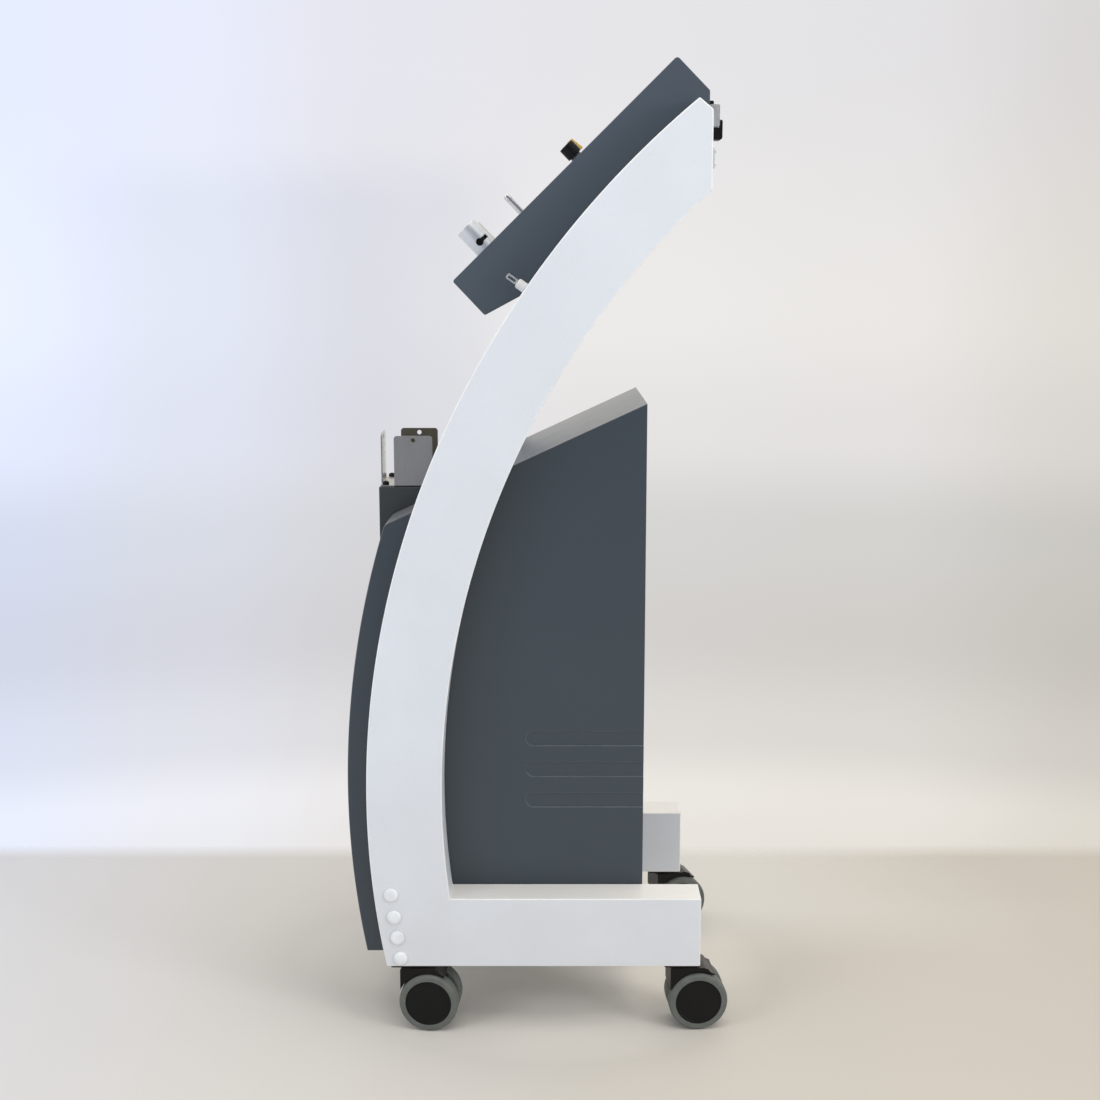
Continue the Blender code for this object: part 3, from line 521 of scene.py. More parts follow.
def screw_head(r, h, recess="cross", dome=0.55, segments=32):
    """A domed screw head on local Z = 0 with a drive recess cut in, as a mesh with its cutters."""
    profile = [(0, 0), (r, 0), (r, h * (1 - dome))] + [
        (r * math.cos(a), h * (1 - dome) + h * dome * math.sin(a)) for a in (0.3, 0.6, 0.9, 1.2)] + [(0, h)]
    if recess == "cross":
        w, l, d = r * 0.13, r * 0.55, h * 0.55
        cutters = [box((-l, -w, h - d), (l, w, h + 0.001)), box((-w, -l, h - d), (w, l, h + 0.001))]
    else:
        bm = bmesh.new()
        bmesh.ops.create_cone(bm, cap_ends=True, segments=6, radius1=r * 0.46, radius2=r * 0.46, depth=h * 1.4,
                              matrix=Matrix.Translation((0, 0, h * 1.15)))
        cutters = [bm]
    return lathe(profile, segments), cutters


def screw(name, at, direction, r, h, mat, body="console", recess="cross", spin=0.3):
    turn = Vector(direction).normalized().to_track_quat("Z", "Y").to_matrix().to_4x4()
    m = Matrix.Translation(at) @ turn @ Matrix.Rotation(spin, 4, "Z")
    head, cutters = screw_head(r, h, recess)
    return piece(name, head, mat, body, cuts=cutters, matrix=m, angle=40)


# ------------------------------------------------------------ camera, stage and light
cam_data = bpy.data.cameras.new("camera")
cam_data.sensor_width, cam_data.lens = 36.0, 51.905
cam_data.clip_start, cam_data.clip_end = 0.05, 60
cam = bpy.data.objects.new("camera", cam_data)
SCENE.objects.link(cam)
cam.location = (0.01379, -2.06003, 0.96060)
cam.rotation_euler = (math.radians(90 - 10.245), 0, 0)
bpy.context.scene.camera = cam
bpy.context.scene.view_settings.view_transform = "Standard"
bpy.context.scene.view_settings.look = "None"

FLOOR_END = 0.475
fl = bmesh.new()
bmesh.ops.create_grid(fl, x_segments=8, y_segments=8, size=1.0)
for v in fl.verts:
    v.co.x *= 9.0
    v.co.y = FLOOR_END if v.co.y > 0.999 else FLOOR_END + (v.co.y - 1.0) * 5.0
floor = raw("studio_floor", fl)
f = Nodes("studio_floor_paint")
sep = f.n("ShaderNodeSeparateXYZ")
f.link(f.coord, sep.inputs["Vector"])
# painted light: the floor is cooler towards the left and warmer towards the right
tone = f.ramp(f.span(sep.outputs["X"], 0.0, 1.0, -0.95, 0.95), [
    (0.0, srgb(213, 215, 223)), (0.28, srgb(214, 212, 209)), (0.55, srgb(210, 205, 196)), (0.75, srgb(205, 199, 190)), (1.0, srgb(196, 190, 179))])
tone = f.mix(f.span(f.noise(1.7, 3.0, 0.5), 0.0, 0.35, 0.35, 0.7), tone, f.mix(1.0, tone, (0.93, 0.92, 0.91), "MULTIPLY"))
tone = f.mix(f.span(f.noise(240, 3.0, 0.6), 0.0, 0.06, 0.5, 0.8), tone, (0.30, 0.28, 0.25))
# painted light: the floor is lightened under the machine, against its shadow
painted_light_under = f.math("ADD", f.math("POWER", f.math("DIVIDE", f.math("SUBTRACT", sep.outputs["X"], 0.02), 0.26), 2.0), f.math("POWER", f.math("DIVIDE", sep.outputs["Y"], 0.24), 2.0))
tone = f.mix(f.span(painted_light_under, 0.62, 0.0, 0.15, 1.3), tone, (0.95, 0.90, 0.82))
# painted light: a lighter patch of floor behind the machine
painted_light_behind = f.math("MULTIPLY", f.span(sep.outputs["Y"], 0.0, 1.0, 0.04, 0.20), f.math("MULTIPLY", f.span(sep.outputs["X"], 0.0, 1.0, -0.05, 0.12), f.span(sep.outputs["X"], 1.0, 0.0, 0.34, 0.75)))
tone = f.mix(painted_light_behind, tone, f.mix(1.0, tone, (1.16, 1.20, 1.24), "MULTIPLY"))
# painted light: the floor glows faintly under the machine though no lamp is there
painted_glow_under = f.math("ADD", f.math("POWER", f.math("DIVIDE", sep.outputs["X"], 0.30), 2.0), f.math("POWER", f.math("DIVIDE", f.math("SUBTRACT", sep.outputs["Y"], 0.06), 0.16), 2.0))
f.bsdf.inputs["Emission Color"].default_value = (1.0, 0.93, 0.82, 1)
f.link(f.span(painted_glow_under, 0.105, 0.0, 0.3, 1.4), f.bsdf.inputs["Emission Strength"])
edge_n = f.math("ADD", sep.outputs["Y"], f.math("MULTIPLY", f.math("SUBTRACT", f.noise(2.2, 1.0), 0.5), 0.02))
f.link(f.span(edge_n, 1.0, 0.0, FLOOR_END - 0.06, FLOOR_END - 0.004), f.bsdf.inputs["Alpha"])
f.out(tone, f.span(f.noise(9, 4.0), 0.62, 0.78, 0.3, 0.7), f.bump(f.noise(420, 3.0), 0.05, 0.0006), Specular_IOR_Level=0.25)
floor.data.materials.append(f.mat)

world = bpy.data.worlds.new("studio")
bpy.context.scene.world = world
world.use_nodes = True
wt = world.node_tree
wt.nodes.clear()


def wnode(kind, **settings):
    node = wt.nodes.new(kind)
    for key, value in settings.items():
        setattr(node, key, value)
    return node


def wramp(fac, lo, hi, stops):
    rng = wnode("ShaderNodeMapRange")
    rng.inputs["From Min"].default_value, rng.inputs["From Max"].default_value = lo, hi
    wt.links.new(fac, rng.inputs["Value"])
    r = wnode("ShaderNodeValToRGB")
    r.color_ramp.interpolation = "EASE"
    e = r.color_ramp.elements
    while len(e) < len(stops):
        e.new(0.5)
    for el, (pos, col) in zip(e, stops):
        el.position = (pos - lo) / (hi - lo)
        el.color = (*col, 1)
    wt.links.new(rng.outputs["Result"], r.inputs["Fac"])
    return r.outputs["Color"]


w_out = wnode("ShaderNodeOutputWorld")
w_mix = wnode("ShaderNodeMixShader")
w_seen, w_light = wnode("ShaderNodeBackground"), wnode("ShaderNodeBackground")
w_path, w_coord, w_sep = wnode("ShaderNodeLightPath"), wnode("ShaderNodeTexCoord"), wnode("ShaderNodeSeparateXYZ")
wt.links.new(w_coord.outputs["Generated"], w_sep.inputs["Vector"])
# painted shade on the backdrop: darker bands by height and across, and a grey patch left of centre, stand in for
# shadows on the wall
height = wramp(w_sep.outputs["Z"], -0.40, 0.20, [
    (-0.352, srgb(233, 229, 222)), (-0.325, srgb(236, 232, 226)), (-0.288, srgb(222, 219, 215)), (-0.227, srgb(211, 208, 205)),
    (-0.165, srgb(214, 213, 211)), (-0.103, srgb(230, 228, 227)), (-0.030, srgb(237, 235, 233)), (0.137, srgb(230, 229, 232))])
across = wramp(w_sep.outputs["X"], -1.0, 1.0, [
    (-0.95, (1.00, 1.01, 1.03)), (-0.55, (1.00, 1.04, 1.14)), (-0.33, (1.00, 1.09, 1.34)), (-0.22, (1.03, 1.08, 1.22)), (-0.10, (1.00, 1.01, 1.06)), (0.05, (1.00, 1.00, 1.00)),
    (0.20, (0.98, 0.975, 0.965)), (0.33, (0.88, 0.865, 0.83)), (0.60, (0.95, 0.94, 0.92))])
w_mul = wnode("ShaderNodeMix", data_type="RGBA", blend_type="MULTIPLY")
w_mul.inputs[0].default_value = 1.0
wt.links.new(height, w_mul.inputs[6])
wt.links.new(across, w_mul.inputs[7])
patch_z = wramp(w_sep.outputs["Z"], -0.40, 0.20, [(-0.16, (0, 0, 0)), (-0.10, (0.75, 0.75, 0.75)), (-0.04, (1, 1, 1)), (0.03, (0.95, 0.95, 0.95)), (0.08, (0.15, 0.15, 0.15)), (0.12, (0, 0, 0))])
patch_x = wramp(w_sep.outputs["X"], -1.0, 1.0, [(-0.34, (0, 0, 0)), (-0.22, (0.75, 0.75, 0.75)), (-0.12, (1, 1, 1)), (-0.07, (0.8, 0.8, 0.8)), (0.0, (0, 0, 0))])
w_shadow_patch_mask, w_painted_shadow = (wnode("ShaderNodeMix", data_type="RGBA", blend_type="MULTIPLY") for _ in range(2))
w_shadow_patch_mask.inputs[0].default_value = 1.0
wt.links.new(patch_z, w_shadow_patch_mask.inputs[6])
wt.links.new(patch_x, w_shadow_patch_mask.inputs[7])
wt.links.new(w_shadow_patch_mask.outputs[2], w_painted_shadow.inputs[0])
wt.links.new(w_mul.outputs[2], w_painted_shadow.inputs[6])
w_painted_shadow.inputs[7].default_value = (0.855, 0.875, 0.915, 1)
wt.links.new(w_painted_shadow.outputs[2], w_seen.inputs["Color"])
w_seen.inputs["Strength"].default_value = 1.0
sky = wramp(w_sep.outputs["Z"], -1.0, 1.0, [(-1.0, (0.75, 0.73, 0.70)), (-0.15, (0.88, 0.87, 0.86)), (0.25, (0.97, 0.97, 0.97)), (1.0, (1.12, 1.07, 0.99))])
depth = wramp(w_sep.outputs["Y"], -1.0, 1.0, [(-1.0, (0.62, 0.66, 0.75)), (-0.25, (0.72, 0.75, 0.81)), (0.30, (1.02, 1.00, 0.97)), (1.0, (1.12, 1.10, 1.06))])
w_dir = wnode("ShaderNodeMix", data_type="RGBA", blend_type="MULTIPLY")
w_dir.inputs[0].default_value = 1.0
wt.links.new(sky, w_dir.inputs[6])
wt.links.new(depth, w_dir.inputs[7])
room = wramp(w_sep.outputs["Y"], -1.0, 1.0, [(-1.0, (0.40, 0.41, 0.43)), (-0.72, (0.42, 0.43, 0.45)), (-0.35, (0.88, 0.89, 0.90)), (1.0, (1.0, 1.0, 1.0))])
w_room = wnode("ShaderNodeMix", data_type="RGBA", blend_type="MULTIPLY")
wt.links.new(w_path.outputs["Is Glossy Ray"], w_room.inputs[0])
wt.links.new(w_dir.outputs[2], w_room.inputs[6])
wt.links.new(room, w_room.inputs[7])
wt.links.new(w_room.outputs[2], w_light.inputs["Color"])
w_light.inputs["Strength"].default_value = 0.90
wt.links.new(w_path.outputs["Is Camera Ray"], w_mix.inputs[0])
wt.links.new(w_light.outputs[0], w_mix.inputs[1])
wt.links.new(w_seen.outputs[0], w_mix.inputs[2])
wt.links.new(w_mix.outputs[0], w_out.inputs["Surface"])


def area_light(name, at, target, size, power, color):
    data = bpy.data.lights.new(name, "AREA")
    data.shape, data.size, data.size_y = "RECTANGLE", size[0], size[1]
    data.energy, data.color = power, color
    ob = bpy.data.objects.new(name, data)
    SCENE.objects.link(ob)
    ob.location = at
    ob.rotation_euler = (Vector(target) - Vector(at)).to_track_quat("-Z", "Y").to_euler()
    return ob


area_light("softbox_above", (0.2, -0.9, 3.0), (0, 0, 0.4), (2.2, 2.0), 22, (1.0, 0.95, 0.86))
area_light("softbox_right", (2.5, -1.9, 1.5), (0, 0, 1.0), (0.8, 0.8), 24, (0.98, 0.98, 1.0))
area_light("softbox_left", (-2.6, -2.2, 1.9), (0, 0, 0.8), (1.1, 1.3), 20, (0.84, 0.91, 1.0))

# ------------------------------------------------------------ side frames
frame_outline = (
    arc(FRONT_C, FRONT_R, LEG_BOTTOM, TIP_TOP[1], 150)
    + [(TIP_X, TIP_CHAMFER_Z)]
    + arc(REAR_C, REAR_R, REAR_C[1] + math.sqrt(REAR_R ** 2 - (REAR_C[0] - TIP_X) ** 2), LEG_TOP, 130)
    + [(LEG_END, LEG_TOP), (LEG_END, LEG_BOTTOM)]
)
for side, name in ((-1, "left"), (1, "right")):
    y0, y1 = sorted((side * INNER, side * FRAME_HALF))
    skin = piece("side_frame_%s_skin" % name, prism(frame_outline, y0, y1), WHITE, "console", ["side_frame_" + name],
                 edge=(0.0015, 4, 25), angle=24)
    dome = [(0, 0), (CAP_R - 0.0003, 0), (CAP_R, 0.0003), (CAP_R, 0.0008)] + [
        (CAP_R * math.cos(a) ** 0.8, 0.0008 + (CAP_H - GAP - 0.0008) * math.sin(a)) for a in (0.2, 0.4, 0.6, 0.8, 1.0, 1.2, 1.4)
    ] + [(0, CAP_H - GAP)]
    for k, z in enumerate(CAP_Z):
        m = Matrix.Translation((arc_x(FRONT_C, FRONT_R, z) + CAP_INSET[k], side * (FRAME_HALF + GAP), z)) @ Matrix.Rotation(side * -math.pi / 2, 4, "X")
        piece("cap_%s_%d_dome" % (name, k + 1), lathe(dome, 48), CAP_WHITE, "console", ["cap_%s_%d" % (name, k + 1)], matrix=m, angle=50)

# ------------------------------------------------------------ cabinet
top_corner = line_meets_arc(TOP_Z0, COVER_C, COVER_R)
front_arc = arc(COVER_C, COVER_R, COVER_BOTTOM, top_corner[1], 110)
back_r = COVER_R - COVER_DEPTH
seam_low_z = COVER_C[1] + math.sqrt(back_r ** 2 - (COVER_C[0] - COVER_SEAM_X) ** 2)
outline = front_arc + [(COVER_SEAM_X, top_z(COVER_SEAM_X))] + arc(COVER_C, back_r, seam_low_z, COVER_BOTTOM, 90)
radii = [0.0] * len(outline)
radii[len(front_arc) - 1] = COVER_FILLET
drop = COVER_SHEET * math.sqrt(1 + TOP_SLOPE ** 2)
in_corner = line_meets_arc(TOP_Z0 - drop, COVER_C, COVER_R - COVER_SHEET)
hollow = arc(COVER_C, COVER_R - COVER_SHEET, COVER_BOTTOM + COVER_SHEET, in_corner[1], 110)
hollow_radii = [0.0] * (len(hollow) - 1) + [COVER_FILLET - COVER_SHEET, 0, 0, 0]
hollow += [(-0.100, top_z(-0.100) - drop), (-0.080, 0.300), (-0.100, COVER_BOTTOM + COVER_SHEET)]


def near_corner(pts, rads):
    """Drops the arc points that the corner's rounding would run past."""
    k = next(i for i, r in enumerate(rads) if r > 0)
    keep = [i for i in range(len(pts)) if i == k or (Vector(pts[i]) - Vector(pts[k])).length > rads[k] * 0.7]
    return [pts[i] for i in keep], [rads[i] for i in keep]


outline, radii = near_corner(outline, radii)
hollow, hollow_radii = near_corner(hollow, hollow_radii)
piece("front_cover_skin", prism(fillet(outline, radii), -SIDE, SIDE), SLATE, "console", ["front_cover"],
      cuts=[prism(fillet(hollow, hollow_radii), -(SIDE - COVER_SHEET), SIDE - COVER_SHEET)], edge=(0.0011, 3, 35), angle=30)

pan_top = LEG_BOTTOM + GAP + SHEET
shell_front = arc(COVER_C, back_r - GAP, pan_top + GAP,
                  COVER_C[1] + math.sqrt((back_r - GAP) ** 2 - (COVER_C[0] - COVER_SEAM_X - GAP) ** 2), 90)
lower = SHEET * math.sqrt(1 + TOP_SLOPE ** 2)
groove_cuts = bmesh.new()
for z in GROOVE_Z:
    h = GROOVE_H / 2
    end = [(GROOVE_X0 + h - h * math.cos(a), z + h * math.sin(a)) for a in [math.pi / 2 - math.pi * k / 20 for k in range(21)]]
    for side in (-1, 1):
        y0, y1 = sorted((side * (SIDE - GROOVE_DEPTH), side * (SIDE + 0.010)))
        add_prism(groove_cuts, end + [(CAB_REAR + 0.010, z - h), (CAB_REAR + 0.010, z + h)], y0, y1)
piece("cabinet_skin", prism(
    shell_front + [(COVER_SEAM_X + GAP, top_z(COVER_SEAM_X + GAP)), (CAB_REAR, top_z(CAB_REAR)), (CAB_REAR, pan_top + GAP)], -SIDE, SIDE),
    SLATE, "console", ["cabinet_shell"],
    cuts=[prism([(-0.30, 0.0), (0.20, 0.0), (0.20, top_z(0.20) - lower), (-0.30, top_z(-0.30) - lower)], -(SIDE - SHEET), SIDE - SHEET), groove_cuts],
    edge=(0.0006, 3, 35), angle=30)

pan = box((-0.1605, -SIDE, LEG_BOTTOM + GAP), (CAB_REAR, SIDE, pan_top))
pan_holes = bmesh.new()
for row in range(5):
    for column in range(9):
        add_box(pan_holes, (-0.06 + 0.025 * row, -0.085 + 0.020 * column, 0.08), (-0.043 + 0.025 * row, -0.081 + 0.020 * column, 0.10))
piece("base_pan_skin", pan, SLATE, "console", ["base_pan"], cuts=[pan_holes], edge=(0.0005, 2), angle=30)
for k, (x, y) in enumerate([(x, y) for x in (-0.148, 0.120) for y in (-0.118, 0.0, 0.118)]):
    screw("base_screw_%d" % k, (x, y, LEG_BOTTOM + GAP), (0, 0, -1), 0.0036, 0.0016, ZINC, spin=0.4 * k)

rear_half = SIDE - SHEET - GAP
vents = box((REAR_X - 0.01, INLET_Y - 0.0255, INLET_Z - 0.0155), (REAR_X + 0.02, INLET_Y + 0.0255, INLET_Z + 0.0155))
for row in range(7):
    for column in (-1, 1):
        z, y = 0.640 + 0.014 * row, column * 0.050
        pts = rounded_rect(y - 0.040, z - 0.0018, y + 0.040, z + 0.0018, 0.0016, 5)
        slot_bm = add_prism(bmesh.new(), pts, REAR_X - 0.01, REAR_X + 0.02)
        slot_bm.transform(Matrix(((0, 1, 0, 0), (1, 0, 0, 0), (0, 0, 1, 0), (0, 0, 0, 1))))
        me = bpy.data.meshes.new("vent")
        slot_bm.to_mesh(me)
        slot_bm.free()
        vents.from_mesh(me)
        bpy.data.meshes.remove(me)
piece("rear_panel_skin", box((REAR_X, -rear_half, pan_top + GAP), (REAR_X + 0.002, rear_half, 0.7870)), SLATE, "console", ["rear_panel"],
      cuts=[vents], edge=(0.0004, 2), angle=30)
for k, (y, z) in enumerate([(y, z) for y in (-0.122, 0.122) for z in (0.105, 0.330, 0.555, 0.775)]):
    screw("rear_screw_%d" % k, (REAR_X + 0.002, y, z), (1, 0, 0), 0.0034, 0.0017, ZINC, spin=0.7 * k)
# dark sheet behind the vents, painted shade standing in for the dark inside of the cabinet
piece("vent_shade_sheet", box((REAR_X - 0.0040, -0.098, 0.630), (REAR_X - 0.0030, 0.098, 0.735)), DARK, "console", edge=(0.0003, 1))

socket = prism(fillet([(0.1160, -0.0085), (0.1400, -0.0085), (0.1400, 0.0085), (0.1160, 0.0085)], [0] * 4), -0.0125, 0.0125)
socket.transform(Matrix.Translation((0, INLET_Y - 0.008, INLET_Z)))
flange = prism(rounded_rect(-0.0290, INLET_Z - 0.0190, 0.0290, INLET_Z + 0.0190, 0.004), REAR_X + 0.002 + GAP, 0.1320)
flange.transform(Matrix(((0, 1, 0, 0), (1, 0, 0, INLET_Y), (0, 0, 1, 0), (0, 0, 0, 1))))
piece("power_inlet_body", box((0.1100, INLET_Y - 0.0250, INLET_Z - 0.0150), (0.1320, INLET_Y + 0.0250, INLET_Z + 0.0150)), BLACK, "console",
      ["power_inlet"], joins=[flange], cuts=[socket], edge=(0.0004, 2), angle=30)
for k, (dy, dz) in enumerate(((0, 0.0035), (-0.007, -0.002), (0.007, -0.002))):
    y, z = INLET_Y - 0.008 + dy, INLET_Z + dz
    piece("inlet_pin_%d" % k, box((0.1163, y - 0.001, z - 0.002), (0.1280, y + 0.001, z + 0.002)), CHROME, "console", edge=(0.0004, 2))
for k, dz in enumerate((-0.0145, 0.0145)):
    screw("inlet_screw_%d" % k, (0.1320, INLET_Y + 0.0240, INLET_Z + dz), (1, 0, 0), 0.0022, 0.0012, ZINC, spin=0.5)

# ------------------------------------------------------------ head
pocket = inset(list(HEAD), [-0.020] + [HEAD_SHEET] * 4)
piece("head_skin", prism(fillet(list(HEAD), HEAD_FILLET, 10), -SIDE, SIDE), HEAD_LIT_COAT, "console", ["head_housing"],
      cuts=[prism(pocket, -(SIDE - HEAD_SHEET), SIDE - HEAD_SHEET)], edge=(0.0008, 3, 35), angle=30)

FACE_A = Vector((HEAD[0][0], 0, HEAD[0][1]))
FACE_L = (Vector((HEAD[1][0], 0, HEAD[1][1])) - FACE_A).length
FACE = Matrix.Translation(FACE_A) @ Matrix.Rotation(-TILT, 4, "Y")
panel_half = SIDE - HEAD_SHEET - GAP
piece("head_face_skin", box((0.0035, -panel_half, -PANEL_T), (FACE_L - 0.0035, panel_half, 0)), HEAD_LIT_COAT, "console", ["head_face_panel"],
      matrix=FACE,
      cuts=[box((DISPLAY_S[0], -DISPLAY_HALF, -0.0022), (DISPLAY_S[1], DISPLAY_HALF, 0.01))],
      joins=[cylinder_between((KNOB_S, KNOB_Y, -0.002), (KNOB_S, KNOB_Y, KNOB_LOW - GAP), 0.0072)],
      edge=(0.0004, 2, 35), angle=30)
piece("display_window", box((DISPLAY_S[0] + GAP, -DISPLAY_HALF + GAP, -0.0022 + GAP), (DISPLAY_S[1] - GAP, DISPLAY_HALF - GAP, 0)), GLASS,
      "console", ["display"], matrix=FACE, edge=(0.0003, 2))
bezel = box((DISPLAY_S[0] - 0.0045, -DISPLAY_HALF - 0.0045, 0.00002), (DISPLAY_S[1] + 0.0045, DISPLAY_HALF + 0.0045, 0.0007))
piece("display_bezel", bezel, BLACK, "console", matrix=FACE, edge=(0.0003, 2),
      cuts=[prism(rounded_rect(DISPLAY_S[0] + 0.002, -0.01, DISPLAY_S[1] - 0.002, 0.01, 0.0005, 3), -DISPLAY_HALF + 0.002, DISPLAY_HALF - 0.002)])
# generic dial marks round the knob
for k in range(11):
    a = math.radians(-150 + 30 * k)
    m = FACE @ Matrix.Translation((KNOB_S, KNOB_Y, 0)) @ Matrix.Rotation(a, 4, "Z")
    long = 0.0185 if k % 5 == 0 else 0.0172
    piece("dial_mark_%02d" % k, box((0.0150, -0.0003, 0.00002), (long, 0.0003, 0.00014)), CREAM, "console", matrix=m)
for k, (s, y) in enumerate([(s, y) for s in (0.012, FACE_L - 0.012) for y in (-0.118, 0.118)]):
    n = FACE.to_3x3() @ Vector((0, 0, 1))
    screw("face_screw_%d" % k, FACE @ Vector((s, y, 0)), n, 0.0030, 0.0004, BLACK, recess="hex", spin=0.2 * k)

# knob: knurled skirt and top, with its pointer
knob_m = FACE @ Matrix.Translation((KNOB_S, KNOB_Y, 0))
kb = lathe([(0, KNOB_LOW)] + smooth_profile(
    [(0, KNOB_LOW), (KNOB_R, KNOB_LOW), (KNOB_R, KNOB_HIGH), (0, KNOB_HIGH)], [0, 0.0004, 0.0009, 0], 4)[1:-1] + [(0, KNOB_HIGH)], 72)
for v in kb.verts:
    r = math.hypot(v.co.x, v.co.y)
    if r > KNOB_R * 0.98 and KNOB_LOW + 0.0008 < v.co.z < KNOB_HIGH - 0.0008:
        k = 1 - 0.018 * (0.5 + 0.5 * math.cos(36 * math.atan2(v.co.y, v.co.x)))
        v.co.x *= k
        v.co.y *= k
piece("knob_body", kb, BLACK, "knob", ["knob"], matrix=knob_m, angle=40)
piece("knob_pointer_body", prism(
    [(KNOB_R + GAP, KNOB_LOW), (0.0134, KNOB_LOW), (0.0112, KNOB_HIGH + 0.0009), (0.0020, KNOB_HIGH + 0.0009),
     (0.0020, KNOB_HIGH + GAP), (KNOB_R + GAP, KNOB_HIGH + GAP)], -0.0016, 0.0016), YELLOW, "knob", ["knob_pointer"],
    matrix=knob_m, edge=(0.00025, 2))

piece("hose_spigot_body", lathe([
    (0, GAP), (0.0070, GAP), (0.0070, 0.0019), (0.0066, 0.0024), (SPIGOT_R + 0.0003, 0.0024), (SPIGOT_R, 0.0028), (SPIGOT_R, 0.0246),
    (SPIGOT_R - 0.0004, 0.0250), (SPIGOT_R - 0.0004, 0.0258), (SPIGOT_R, 0.0262), (SPIGOT_R, SPIGOT_H - 0.0011),
    (SPIGOT_R - 0.0003, SPIGOT_H - 0.0004), (SPIGOT_R - 0.0010, SPIGOT_H), (0.0020, SPIGOT_H), (0.00175, SPIGOT_H - 0.0003),
    (0.00175, SPIGOT_H - 0.015), (0, SPIGOT_H - 0.015)], 56),
    CHROME, "console", ["hose_spigot"], matrix=FACE @ Matrix.Translation((SPIGOT_S, 0, 0)), angle=30)

for side, name in ((-1, "left"), (1, "right")):
    m = FACE @ Matrix.Translation((CUP_S, side * CUP_Y, 0))
    keyhole = cylinder_between((0, -0.018, 0.0119), (0, -0.004, 0.0119), 0.0047, 40)
    bar = prism(rounded_rect(0.0005, 0.0094, 0.0120, 0.0145, 0.0006, 4, (0, 1, 1, 0)), -0.0175, -0.0045)
    # the right-hand sleeve takes the painted-shade copy of the aluminium
    piece("cup_sleeve_%s_body" % name, lathe([
        (CUP_BORE, GAP), (CUP_R, GAP), (CUP_R, 0.0026), (CUP_R - 0.0003, 0.0028), (CUP_R - 0.0003, 0.0032), (CUP_R, 0.0034),
        (CUP_R, CUP_H - 0.0007), (CUP_R - 0.0002, CUP_H - 0.0002), (CUP_R - 0.0007, CUP_H), (CUP_BORE + 0.0005, CUP_H),
        (CUP_BORE, CUP_H - 0.0005)], 88), ALU if side < 0 else ALU_FAR_SHADED, "cup_" + name, ["cup_sleeve_" + name], cuts=[keyhole, bar], matrix=m,
        edge=(0.00022, 2, 50), angle=32)
    core = lathe([(0, GAP), (0.0112, GAP), (0.0112, 0.0248), (0.0109, 0.0255), (0.0102, 0.0258), (0.0070, 0.0258), (0.0064, 0.0252),
                  (0.0064, 0.0130), (0, 0.0130)], 56)
    piece("cup_core_%s_body" % name, core, BLACK, "console", ["cup_core_" + name], matrix=m, angle=35)
    for k in range(5):
        a = 2 * math.pi * k / 5 + 0.3
        pin = lathe([(0, 0.0131), (0.0006, 0.0131), (0.0006, 0.0200), (0.0003, 0.0206), (0, 0.0207)], 16)
        piece("cup_contact_%s_%d" % (name, k), pin, CHROME, "console",
              matrix=m @ Matrix.Translation((0.0036 * math.cos(a), 0.0036 * math.sin(a), 0)), angle=40)

# ------------------------------------------------------------ swivel eyes
eye_x = arc_x(FRONT_C, FRONT_R, EYE_Z)
out = Vector((eye_x - FRONT_C[0], 0, EYE_Z - FRONT_C[1])).normalized()
EYE_TILT = math.atan2(out.x, out.z)
for side, name in ((-1, "left"), (1, "right")):
    m = Matrix.Translation(Vector((eye_x, side * (FRAME_HALF - FRAME_T / 2), EYE_Z)) + out * GAP) @ Matrix.Rotation(EYE_TILT, 4, "Y")
    piece("eye_collar_%s_body" % name, lathe([
        (0, 0), (COLLAR_R, 0), (COLLAR_R, COLLAR_H - 0.0030), (COLLAR_R - 0.0002, COLLAR_H - 0.0016), (COLLAR_R - 0.0008, COLLAR_H - 0.0007),
        (COLLAR_R - 0.0018, COLLAR_H - 0.0001), (COLLAR_R - 0.0024, COLLAR_H), (0.0023, COLLAR_H), (0.0021, COLLAR_H - 0.0002), (0.0021, 0.0040), (0, 0.0040)], 56),
        CREAM, "console", ["eye_collar_" + name], matrix=m, angle=35)
    w = LOOP_W / 2
    piece("eye_loop_%s_body" % name, prism(rounded_rect(-w, COLLAR_H + GAP, w, LOOP_END, 0.0016, 6), -LOOP_T / 2, LOOP_T / 2), LOOP, "eye_" + name,
          ["eye_loop_" + name], matrix=m,
          cuts=[prism(rounded_rect(-w + 0.0018, COLLAR_H + 0.0024, w - 0.0018, LOOP_END - 0.0019, 0.0010, 5), -0.01, 0.01)],
          joins=[cylinder_between((0, 0, 0.0045), (0, 0, COLLAR_H + 0.0018), 0.0016, 28)], edge=(0.0004, 3, 50), angle=35)

# ------------------------------------------------------------ toggle latch
LATCH_BASE = HEAD[2][0] + GAP
px, pz = LATCH_PIVOT
piece("latch_keeper_body", prism(rounded_rect(LATCH_BASE, 1.1435, 0.2077, 1.1500, 0.0015, 5, (0, 1, 1, 0)), LATCH_Y - 0.0055, LATCH_Y + 0.0055), BLACK,
      "console", ["latch_keeper"], edge=(0.0004, 2))
EAR_R, ear_half = 0.0175, 0.0052
low = math.sqrt(EAR_R ** 2 - ear_half ** 2)
a0, a1 = math.atan2(-low, ear_half), math.atan2(-low, -(px - LATCH_BASE))
ear = [(px + ear_half, 1.1454), (px + ear_half, pz - low)] + [
    (px + EAR_R * math.cos(a0 + (a1 - a0) * k / 14), pz + EAR_R * math.sin(a0 + (a1 - a0) * k / 14)) for k in range(1, 15)]
ear = ear[:-1] + [(LATCH_BASE, ear[-1][1]), (LATCH_BASE, 1.1454)]
ear = fillet(ear, [0.0022] + [0] * (len(ear) - 1), 5)
